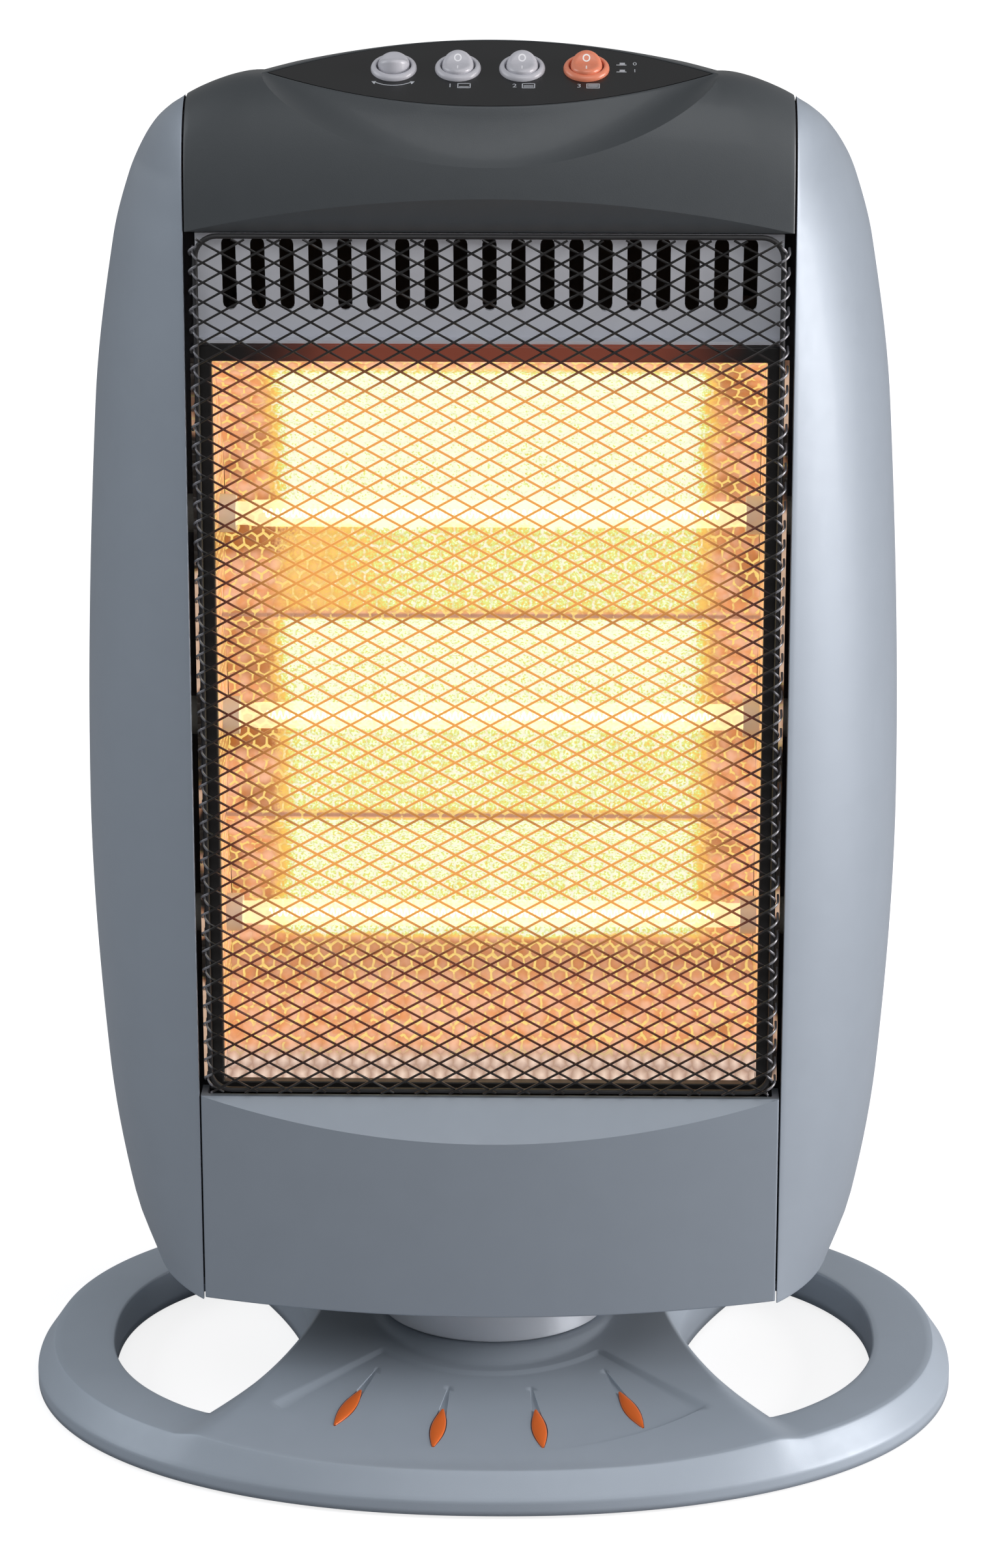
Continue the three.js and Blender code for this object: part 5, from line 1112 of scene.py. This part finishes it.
def build_lamps(settings):
    """Quartz tubes with pinched necks, and in each a filament: a helix round the tube's axis."""
    neck = LAMP_HALF - 8
    upper = [
        (LAMP_RADIUS, neck - 2.5), (LAMP_RADIUS - 0.2, neck - 1), (LAMP_PINCH, neck),
        (LAMP_PINCH, LAMP_HALF), (0, LAMP_HALF),
    ]
    profile = [(radius, -along) for radius, along in upper[::-1]] + upper
    lying = Matrix.Rotation(math.pi / 2, 4, "Y")
    turns = 72
    t = np.linspace(0, 1, turns * 10 + 1)
    angle = t * turns * 2 * math.pi
    helix = points((t - 0.5) * 2 * FILAMENT_HALF, 1.5 * np.cos(angle), 1.5 * np.sin(angle))[None]
    outward = points(0 * t, np.cos(angle), np.sin(angle))[None]
    for i, z in enumerate(LAMP_HEIGHTS):
        placed = Matrix.Translation((0, LAMP_Y, z))
        name, finish = f"quartz_tube_{i + 1}", material("quartz", settings)
        tube = Shape().turned(profile, 48).moved(placed @ lying).mesh(name)
        finish_piece(name, tube, finish, "head", (f"halogen_lamp_{i + 1}",), 50)
        coil = Shape().tubes(helix, 0.35, outward, 5).moved(placed).mesh(f"filament_{i + 1}")
        finish_piece(f"filament_{i + 1}", coil, material("filament", settings), "head", (), 60)
        for side in ("left", "right"):
            refined(f"lamp_socket_{side}_{i + 1}", material("ceramic", settings), 40)


# ---- Pieces of the base ----


def bridge_half(y):
    """Half width of the bridge: growing with the 1.5th power of the distance from the axis."""
    return BRIDGE_WAIST + BRIDGE_FLARE * (np.abs(y) / BRIDGE_FLARE_Y) ** 1.5


def mound_top(x, y):
    """Height of ring and bridge: the rise ramps down along the bridge and over its rounded shoulders."""
    along = soft_clip((MOUND_REACH - np.abs(y)) / (MOUND_REACH - MOUND_FLAT), 0.03)
    across = soft_clip((1 - np.abs(x) / bridge_half(y)) / (1 - MOUND_SHOULDER), 0.15)
    return RING_TOP + MOUND_RISE * along * across


def base_top(x, y):
    """Mound and conical boss, whichever is higher."""
    cone = RING_TOP + MOUND_RISE - BOSS_CONE * soft_clip(
        (np.hypot(x, y) - BOSS_TOP_RADIUS) / (BOSS_FOOT_RADIUS - BOSS_TOP_RADIUS), 0.06
    )
    inside = np.hypot(x, y) < BOSS_FOOT_RADIUS
    return np.where(inside, np.maximum(mound_top(x, y), cone), mound_top(x, y))


def ray_to_oval(angle, half, power):
    """Distance from the axis to a superellipse along plan angles measured from the front."""
    across, along = np.abs(np.sin(angle) / half[0]), np.abs(np.cos(angle) / half[1])
    return (across**power + along**power) ** (-1 / power)


def ray_to_bridge(angle):
    """Distance from the axis to the bridge's edge, by halving an interval."""
    low, high = np.zeros_like(angle), np.full_like(angle, 170.0)
    for _ in range(40):
        middle = (low + high) / 2
        inside = middle * np.abs(np.sin(angle)) < bridge_half(middle * np.cos(angle))
        low, high = np.where(inside, middle, low), np.where(inside, high, middle)
    return (low + high) / 2


def corner_angle():
    """Plan angle from the front at which the bridge's edge meets the hole's outer edge."""
    low, high = math.radians(30), math.radians(80)
    for _ in range(50):
        middle = (low + high) / 2
        gap = ray_to_bridge(np.array([middle]))[0] - ray_to_oval(middle, HOLE_HALF, HOLE_POWER)
        low, high = (middle, high) if gap > 0 else (low, middle)
    return (low + high) / 2


def leaf_half(run, width):
    """Half width of a leaf at a run from its middle: a sine arch with blunt tips."""
    v = np.clip(run / INLAY_LENGTH + 0.5, 0, 1)
    return width / 2 * np.sin(math.pi * (0.04 + 0.92 * v))


def leaf_line(radius, angle):
    """Where the line along a leaf is at a distance from the axis: its angle, and its run from the middle.

    The line passes the leaf's middle and turns from straight ahead by a share of the leaf's own angle.
    """
    middle = INLAY_START + INLAY_LENGTH / 2
    skew = angle * (1 - INLAY_TURN)
    run = np.sqrt(radius**2 - (middle * np.sin(skew)) ** 2) - middle * np.cos(skew)
    x = middle * np.sin(angle) + run * np.sin(angle * INLAY_TURN)
    y = middle * np.cos(angle) + run * np.cos(angle * INLAY_TURN)
    return np.arctan2(x, y), run


def spread(knots, counts):
    """Even steps between knots, the given number of steps in each span; knots run along the first axis."""
    parts = [knots[:1]]
    for a, b, count in zip(knots[:-1], knots[1:], counts):
        t = np.linspace(0, 1, count + 1)[1:].reshape((-1,) + (1,) * (knots.ndim - 1))
        parts.append(a + (b - a) * t)
    return np.concatenate(parts)


# Distances from the axis at which the base's rows change: bore, collar seat, boss, then the fan's own edges.
INLAY_END = INLAY_START + INLAY_LENGTH
INNER_STOPS = np.array([
    12.4, 30, 44, 47, BOSS_TOP_RADIUS, BOSS_FOOT_RADIUS, FAN_INNER - FAN_SOFT, FAN_INNER + FAN_SOFT,
    GROOVE_START - 0.2, GROOVE_START + 0.2, INLAY_START, INLAY_START + 4, INLAY_END - 0.1, INLAY_END + 0.1,
    FAN_OUTER - FAN_SOFT, FAN_OUTER + FAN_SOFT,
])
INNER_COUNTS = (1, 1, 2, 2, 8, 1, 1, 6, 1, 9, 4, 13, 1, 2, 1)
EDGE_DROPS = ((0.9, 0.0), (0.5, 0.1), (0.2, 0.35), (0.0, 0.9))
# The bevel's section: distance in from the outline, and tenths of the height down to the bevel's foot.
BEVEL_SECTION = (
    (6.75, -0.12), (6.4, -0.55), (5.6, -1.7), (4.2, -3.8), (2.8, -5.9),
    (1.2, -8.2), (0.35, -9.5), (0.08, -10.1), (0, -10.9),
)


def wall_down(where, top, steps):
    """Rows below the last row of a patch, straight down to the underside."""
    share = np.linspace(0, 1, steps + 1)[1:, None]
    low = top + (BASE_UNDERSIDE - top) * share
    return points(where[..., 0], where[..., 1], low)


def outer_rows(angle, first, count):
    """Rows from a distance out to the bevel's upper edge, then over the bevel and down the upright edge."""
    bevel_edge = ray_to_oval(angle, BASE_HALF - BEVEL_WIDTH, BASE_POWER)
    radius = spread(np.stack([first, bevel_edge]), (count,))
    x, y = radius * np.sin(angle), -radius * np.cos(angle)
    flat = points(x, y, base_top(x, y))
    rows = []
    top = flat[-1, :, 2]
    for inset, drop in BEVEL_SECTION:
        reach = ray_to_oval(angle, BASE_HALF - inset, BASE_POWER)
        z = top + drop * (top - BEVEL_BOTTOM) / 10
        rows.append(points(reach * np.sin(angle), -reach * np.cos(angle), z))
    bevel = np.stack(rows)
    return np.concatenate([flat, bevel, wall_down(bevel[-1], bevel[-1, :, 2], 2)])


def fan_angles(radius, corner):
    """Column angles of the front sector at each distance: lines hug the fan's sides, grooves and leaves."""
    groove = (GROOVE_WIDTH * np.clip((radius - GROOVE_START) / 30.5, 0, 1) + 0.5) / 2
    fan_side = np.full_like(radius, -math.radians(FAN_HALF_ANGLE))
    soft = FAN_SIDE_SOFT / radius
    knots = [np.full_like(radius, -corner), fan_side - soft, fan_side + soft]
    for turned in np.radians(INLAY_ANGLES):
        centre, run = leaf_line(np.maximum(radius, GROOVE_START), turned)
        leaf = leaf_half(run, INLAY_WIDTH) * (np.abs(run) < INLAY_LENGTH / 2)
        half = np.maximum(np.where(run < 0, groove, 0.3), leaf)
        outer, inner = (half + 0.12) / radius, half / radius
        knots += [centre - outer, centre - inner, centre + inner, centre + outer]
    knots += [-knots[2], -knots[1], -knots[0]]
    counts = [6, 1, 6, *[1, 4, 1, 14] * 3, 1, 4, 1, 6, 1, 6]
    angle = spread(np.stack(knots), counts)
    sunk = np.zeros(len(knots))
    sunk[4:-4] = np.tile([1, 1, 0, 0], 4)[: len(knots) - 8]
    in_fan = np.zeros(len(knots))
    in_fan[2:-2] = 1
    return angle.T, spread(in_fan, counts), spread(sunk, counts)


def build_base(settings):
    """The base as patches about the axis: front and back sectors, the bridge's and the ring's sides."""
    corner = corner_angle()
    meet = ray_to_oval(corner, HOLE_HALF, HOLE_POWER)
    bevel_edge = ray_to_oval(corner, BASE_HALF - BEVEL_WIDTH, BASE_POWER)
    fraction = (meet - INNER_STOPS[-1]) / (bevel_edge - INNER_STOPS[-1])
    inner = spread(INNER_STOPS, INNER_COUNTS)
    shape = Shape()

    def sector(angle, heights):
        reach = ray_to_oval(angle[-1], BASE_HALF - BEVEL_WIDTH, BASE_POWER)
        first = INNER_STOPS[-1] + (reach - INNER_STOPS[-1]) * fraction
        beyond = spread(np.stack([0 * reach + INNER_STOPS[-1], first]), (6,))[1:]
        radius = np.concatenate([np.broadcast_to(inner[:, None], (len(inner), angle.shape[1])), beyond])
        angle = np.concatenate([angle, np.broadcast_to(angle[-1], beyond.shape)])
        x, y = radius * np.sin(angle), -radius * np.cos(angle)
        z = base_top(x, y)
        if heights is not None:
            z[: len(inner)] -= heights
        shape.grid(points(x, y, z))
        shape.grid(outer_rows(angle[-1], first, 8))

    angle, in_fan, sunk = fan_angles(inner, corner)
    between = (inner > FAN_INNER) & (inner < FAN_OUTER)
    carved = (inner > GROOVE_START) & (inner < INLAY_START + INLAY_LENGTH)
    pocket = np.clip((inner - INLAY_START) / 3, 0, 1) * 0.6
    shallow = GROOVE_DEPTH * np.clip((inner - GROOVE_START) / 9, 0, 1)
    depth = FAN_DEPTH * between[:, None] * in_fan + (shallow + pocket)[:, None] * carved[:, None] * sunk
    sector(angle, depth)
    back = np.broadcast_to(np.linspace(math.pi - corner, math.pi + corner, 121), (len(inner), 121))
    sector(back, None)

    side = np.linspace(corner, math.pi - corner, 111)
    fade = np.clip(np.sin((side - corner) / (math.pi - 2 * corner) * math.pi) * 6, 0, 1)
    bridge, hole = ray_to_bridge(side), ray_to_oval(side, HOLE_HALF, HOLE_POWER)
    foot = BOSS_FOOT_RADIUS
    for sign in (1, -1):
        flip = np.array([sign, 1, 1])
        stretch = np.concatenate([inner, spread(np.array([INNER_STOPS[-1], meet]), (6,))[1:]])[:, None]
        bend = foot + (stretch - foot) * (bridge - foot) / (meet - foot)
        radius = np.where(stretch <= foot, stretch, bend)
        shade = [radius[:-1]]
        drops = [np.zeros_like(radius[:-1])]
        for step, drop in EDGE_DROPS:
            shade.append((bridge - step * fade)[None])
            drops.append((drop * fade)[None])
        radius, drop = np.concatenate(shade), np.concatenate(drops)
        radius = np.minimum(radius, bridge)
        x, y = radius * np.sin(side), -radius * np.cos(side)
        rows = points(x, y, base_top(x, y) - drop)
        rows = np.concatenate([rows, wall_down(rows[-1], rows[-1, :, 2], 4)])
        shape.grid(rows * flip)
        edge = []
        for step, drop in EDGE_DROPS[::-1]:
            reach = hole + step * fade
            ex, ey = reach * np.sin(side), -reach * np.cos(side)
            edge.append(points(ex, ey, base_top(ex, ey) - drop * fade))
        edge = np.stack(edge)
        wall = wall_down(edge[0], edge[0, :, 2], 4)
        shape.grid(np.concatenate([wall[::-1], edge]) * flip)
        rest = outer_rows(side, hole, 8)
        rest[0] = edge[-1]
        shape.grid(rest * flip)

    mesh = shape.mesh("base_skin")
    if sum(face.normal.z * face.area for face in mesh.polygons) < 0:
        mesh.flip_normals()
    finish = material("lit_silver_base", settings)
    piece = finish_piece("base_skin", mesh, finish, "base", ("base_shell",), 40)
    wall = piece.modifiers.new("Wall", "SOLIDIFY")
    wall.thickness = BASE_WALL * MM
    wall.offset = -1


def build_inlays(settings):
    """Leaves with a gently domed top: a sine arch in plan, a parabola across."""
    run = (INLAY_LENGTH / 2 - GAP) * np.linspace(-1, 1, 41)[:, None]
    half = leaf_half(run, INLAY_WIDTH - 2 * GAP)
    middle = INLAY_START + INLAY_LENGTH / 2
    u = np.concatenate([[-1, -0.985, -0.94], np.linspace(-0.85, 0.85, 9), [0.94, 0.985, 1]])
    drop = np.array([0.5, 0.25, 0.1] + [0] * 9 + [0.1, 0.25, 0.5])
    for i, centre in enumerate(np.radians(INLAY_ANGLES)):
        turn = centre * INLAY_TURN
        x = middle * math.sin(centre) + run * math.sin(turn) + half * u * math.cos(turn)
        y = -middle * math.cos(centre) - run * math.cos(turn) + half * u * math.sin(turn)
        dome = 0.35 * (1 - u**2) * np.minimum(1, half / 2)
        ground = mound_top(x, y) - FAN_DEPTH
        top = points(x, y, ground + 0.3 - drop + dome)
        under = points(x, y, ground - 0.7)
        name, finish = f"inlay_leaf_{i + 1}", material("accent", settings)
        mesh = Shape().shell(top, under).mesh(name)
        finish_piece(name, mesh, finish, "base", (f"base_inlay_{i + 1}",), 40)


def build_swivel(settings):
    """Bright collar turned from a straight wall and a quarter circle."""
    bore, radius, foot, top, soft = 12.4, 46, 31.3, 45.3, 4
    arc = np.linspace(0, math.pi / 2, 9)
    profile = [(bore, foot), (radius - 0.4, foot), (radius, foot + 0.4)]
    profile += [(radius - soft + soft * math.cos(a), top - soft + soft * math.sin(a)) for a in arc]
    profile += [(bore, top)]
    mesh = Shape().turned(profile, 128).mesh("collar_ring")
    finish = material("chrome", settings)
    finish_piece("collar_ring", mesh, finish, "base", ("swivel_collar",), 40)


def build_small_parts(settings):
    """Finishes of every remaining CAD node, smoothed copies of the ones that can be seen."""
    seen = {
        "rear_cover": ("charcoal", "charcoal_plastic"),
        "head_base_pan": ("charcoal", "charcoal_plastic"),
        "base_bottom_plate": ("black", "black_plastic"),
        "control_panel": ("gloss", "gloss_black"),
        "cord_gland": ("rubber", "rubber"),
    }
    for node, (finish, slot) in seen.items():
        refined(node, material(finish, settings), 28)
    kinds = {
        "rear_screw": "steel", "rubber_foot": "rubber", "tip_switch_plunger": "pebble", "tip_switch": "black",
        "motor_crank": "brass", "pivot_tube": "steel", "drive_arm": "steel", "oscillation": "steel",
        "swivel_washer": "steel", "retaining_ring": "steel",
    }
    for name, node in frame["nodes"].items():
        finish = next((kinds[start] for start in kinds if name.startswith(start)), None)
        if finish:
            node.data.materials.clear()
            node.data.materials.append(material(finish, settings))


# ---- Stage ----


def floor_material():
    """Floor that is white to the camera apart from a soft shadow and a painted shade round the heater, and
    throws little light on the heater.
    """
    shader = Shader("floor", Base_Color=(0.4, 0.4, 0.41), Roughness=0.9, Specular_IOR_Level=0.0)
    shader.set(Emission_Strength=1.0)
    seen = shader.node("ShaderNodeLightPath", {}, {}, "Is Camera Ray")
    x, y, _ = shader.axes(shader.position())
    # Painted shade: the floor's glow dimmed round the heater, so that the soft shadow shows near it.
    away = shader.step((x * x + y * y) ** 0.5, 0.2, 0.7)
    shade = shader.blend(away, (0.8, 0.8, 0.8), (1.0, 1.0, 1.0))
    shader.set(Emission_Color=shader.blend(seen, (0.0, 0.0, 0.0), shade))
    return shader.material


def looking(place, aim):
    """Matrix of a light or a camera at a place, turned towards an aim; both in metres."""
    turn = (Vector(aim) - Vector(place)).to_track_quat("-Z", "Y")
    return Matrix.Translation(place) @ turn.to_matrix().to_4x4()


def build_stage(settings):
    """White floor, even sky, a large soft light at the right, weaker ones left and above, the camera."""
    scene = bpy.context.scene
    half = 9.0
    corners = [(-half, -half, 0), (half, -half, 0), (half, half, 0), (-half, half, 0)]
    mesh = bpy.data.meshes.new("floor")
    mesh.from_pydata(corners, [], [(0, 1, 2, 3)])
    mesh.materials.append(floor_material())
    floor = bpy.data.objects.new("floor", mesh)
    scene.collection.objects.link(floor)

    world = bpy.data.worlds.new("studio")
    scene.world = world
    world.use_nodes = True
    tree = world.node_tree
    sky = tree.nodes["Background"]
    path = tree.nodes.new("ShaderNodeLightPath")
    level = tree.nodes.new("ShaderNodeMix")
    level.data_type = "FLOAT"
    level.inputs[2].default_value = settings.sky
    level.inputs[3].default_value = 1.0
    tree.links.new(path.outputs["Is Camera Ray"], level.inputs[0])
    tree.links.new(level.outputs[0], sky.inputs["Strength"])
    sky.inputs["Color"].default_value = (1, 1, 1, 1)

    def light(name, place, width, height, power, colour):
        lamp = bpy.data.lights.new(name, "AREA")
        lamp.shape = "RECTANGLE"
        lamp.size, lamp.size_y = width, height
        lamp.energy = power
        lamp.color = colour
        holder = bpy.data.objects.new(name, lamp)
        holder.matrix_world = looking(place, (0, 0, 0.28))
        scene.collection.objects.link(holder)

    light("key", (1.9, -0.4, 0.5), 1.0, 1.2, settings.key, (1.0, 0.96, 0.94))
    light("fill", (-1.75, -0.2, 1.1), 1.2, 1.2, settings.fill, (0.94, 0.97, 1.0))
    light("top", (0.15, -1.35, 1.45), 1.4, 1.0, settings.top, (0.97, 0.98, 1.0))

    camera = bpy.data.cameras.new("camera")
    camera.lens = 107.5
    camera.sensor_width = 36
    holder = bpy.data.objects.new("camera", camera)
    holder.matrix_world = looking((0.0335, -1.7391, 0.7783), (0.0035, -0.018, 0.252))
    scene.collection.objects.link(holder)
    scene.camera = holder
    scene.view_settings.view_transform = "Standard"


# ---- Settings, operators and panel ----


def colour_setting(name, description, default):
    """A colour that a user may change."""
    return bpy.props.FloatVectorProperty(
        name=name, description=description, default=default, size=3, min=0, max=1, subtype="COLOR"
    )


def level_setting(name, description, default, most):
    """A strength without a unit."""
    return bpy.props.FloatProperty(name=name, description=description, default=default, min=0, max=most)


def power_setting(name, description, default):
    """The power of a light."""
    return bpy.props.FloatProperty(
        name=name, description=description, default=default, min=0, max=400, unit="POWER"
    )


class HeaterSettings(bpy.types.PropertyGroup):
    """What a user may change before the pieces are built."""

    silver: colour_setting("Silver", "Lacquer of the side panels and lower panel", (0.285, 0.328, 0.385))
    # The head's silver lacquer made lighter, a painted highlight for the light that falls on the base.
    lit_silver_base: colour_setting("Base silver", "Lacquer of the base", (0.35, 0.405, 0.475))
    charcoal: colour_setting("Charcoal", "Top cover and rear cover", (0.06, 0.068, 0.075))
    gloss: colour_setting("Control panel", "Glossy plate under the switches", (0.01, 0.0105, 0.012))
    accent: colour_setting("Inlays", "Leaves in the base", (0.72, 0.15, 0.03))
    pebble: colour_setting("Switches", "Rockers and bezels", (0.55, 0.55, 0.6))
    pebble_accent: colour_setting("Last switch", "Rocker and bezel of the last switch", (0.82, 0.26, 0.15))
    wire_colour: colour_setting("Guard wire", "Wire of the guard", (0.012, 0.011, 0.011))
    wire_radius: bpy.props.FloatProperty(
        name="Wire radius", description="Radius of the guard's wires", default=0.00046,
        min=0.0002, max=0.0008, precision=5, unit="LENGTH", subtype="DISTANCE",
    )
    cell_size: bpy.props.FloatProperty(
        name="Cell size", description="Width of the hexagons pressed into the reflector", default=0.0048,
        min=0.002, max=0.02, precision=4, unit="LENGTH", subtype="DISTANCE",
    )
    # Strength of the lamps' light painted on the reflector as emission.
    painted_glow: level_setting("Glow", "Light of the reflector", 1.0, 5)
    sky: level_setting("Sky", "Even light from all sides", 0.31, 2)
    top: power_setting("Top", "Soft light above the front", 8)
    key: power_setting("Key", "Soft light at the right", 46)
    fill: power_setting("Fill", "Soft light at the left", 11)


class HeaterStep:
    """Shared run of the operators; an error in a builder stops the operator with that error."""

    bl_options = {"REGISTER", "UNDO"}

    def execute(self, context):
        """Run the builder with the scene's settings."""
        type(self).build(context.scene.heater)
        return {"FINISHED"}


class HEATER_OT_side_panels(HeaterStep, bpy.types.Operator):
    """Build the two side panels"""

    bl_idname = "heater.side_panels"
    bl_label = "Side Panels"
    build = staticmethod(build_side_panels)


class HEATER_OT_top_cover(HeaterStep, bpy.types.Operator):
    """Build the top cover"""

    bl_idname = "heater.top_cover"
    bl_label = "Top Cover"
    build = staticmethod(build_top_cover)


class HEATER_OT_switches(HeaterStep, bpy.types.Operator):
    """Build the rocker switches"""

    bl_idname = "heater.switches"
    bl_label = "Switches"
    build = staticmethod(build_switches)


class HEATER_OT_legends(HeaterStep, bpy.types.Operator):
    """Print the marks of the control panel"""

    bl_idname = "heater.legends"
    bl_label = "Panel Marks"
    build = staticmethod(build_legends)


class HEATER_OT_lower_panel(HeaterStep, bpy.types.Operator):
    """Build the lower front panel"""

    bl_idname = "heater.lower_panel"
    bl_label = "Lower Panel"
    build = staticmethod(build_lower_panel)


class HEATER_OT_guard(HeaterStep, bpy.types.Operator):
    """Build the wire guard"""

    bl_idname = "heater.guard"
    bl_label = "Guard"
    build = staticmethod(build_guard)


class HEATER_OT_reflector(HeaterStep, bpy.types.Operator):
    """Build the reflector with its frame and baffle"""

    bl_idname = "heater.reflector"
    bl_label = "Reflector"
    build = staticmethod(build_reflector)


class HEATER_OT_lamps(HeaterStep, bpy.types.Operator):
    """Build the lamps and their sockets"""

    bl_idname = "heater.lamps"
    bl_label = "Lamps"
    build = staticmethod(build_lamps)


class HEATER_OT_base(HeaterStep, bpy.types.Operator):
    """Build the moulded base"""

    bl_idname = "heater.base"
    bl_label = "Base"
    build = staticmethod(build_base)


class HEATER_OT_inlays(HeaterStep, bpy.types.Operator):
    """Build the leaf-shaped inlays"""

    bl_idname = "heater.inlays"
    bl_label = "Inlays"
    build = staticmethod(build_inlays)


class HEATER_OT_swivel(HeaterStep, bpy.types.Operator):
    """Build the swivel collar"""

    bl_idname = "heater.swivel"
    bl_label = "Swivel"
    build = staticmethod(build_swivel)


class HEATER_OT_small_parts(HeaterStep, bpy.types.Operator):
    """Finish the remaining parts of the frame"""

    bl_idname = "heater.small_parts"
    bl_label = "Small Parts"
    build = staticmethod(build_small_parts)


class HEATER_OT_stage(HeaterStep, bpy.types.Operator):
    """Set up floor, light and camera"""

    bl_idname = "heater.stage"
    bl_label = "Stage"
    build = staticmethod(build_stage)


STEPS = (
    HEATER_OT_side_panels,
    HEATER_OT_top_cover,
    HEATER_OT_switches,
    HEATER_OT_legends,
    HEATER_OT_lower_panel,
    HEATER_OT_guard,
    HEATER_OT_reflector,
    HEATER_OT_lamps,
    HEATER_OT_base,
    HEATER_OT_inlays,
    HEATER_OT_swivel,
    HEATER_OT_small_parts,
    HEATER_OT_stage,
)


class HEATER_PT_panel(bpy.types.Panel):
    """Settings and steps in the sidebar"""

    bl_label = "Halogen Heater"
    bl_space_type = "VIEW_3D"
    bl_region_type = "UI"
    bl_category = "Heater"

    def draw(self, context):
        """Settings first, then one button for each step."""
        for name in HeaterSettings.__annotations__:
            self.layout.prop(context.scene.heater, name)
        for step in STEPS:
            self.layout.operator(step.bl_idname)


CLASSES = (HeaterSettings, *STEPS, HEATER_PT_panel)


def register():
    """Register the classes and hang the settings on the scene."""
    for kind in CLASSES:
        bpy.utils.register_class(kind)
    bpy.types.Scene.heater = bpy.props.PointerProperty(type=HeaterSettings)


def unregister():
    """Undo what register does."""
    del bpy.types.Scene.heater
    for kind in reversed(CLASSES):
        bpy.utils.unregister_class(kind)


def main():
    """Build everything in order."""
    register()
    for step in STEPS:
        group, name = step.bl_idname.split(".")
        getattr(getattr(bpy.ops, group), name)()


if __name__ == "__main__":
    main()
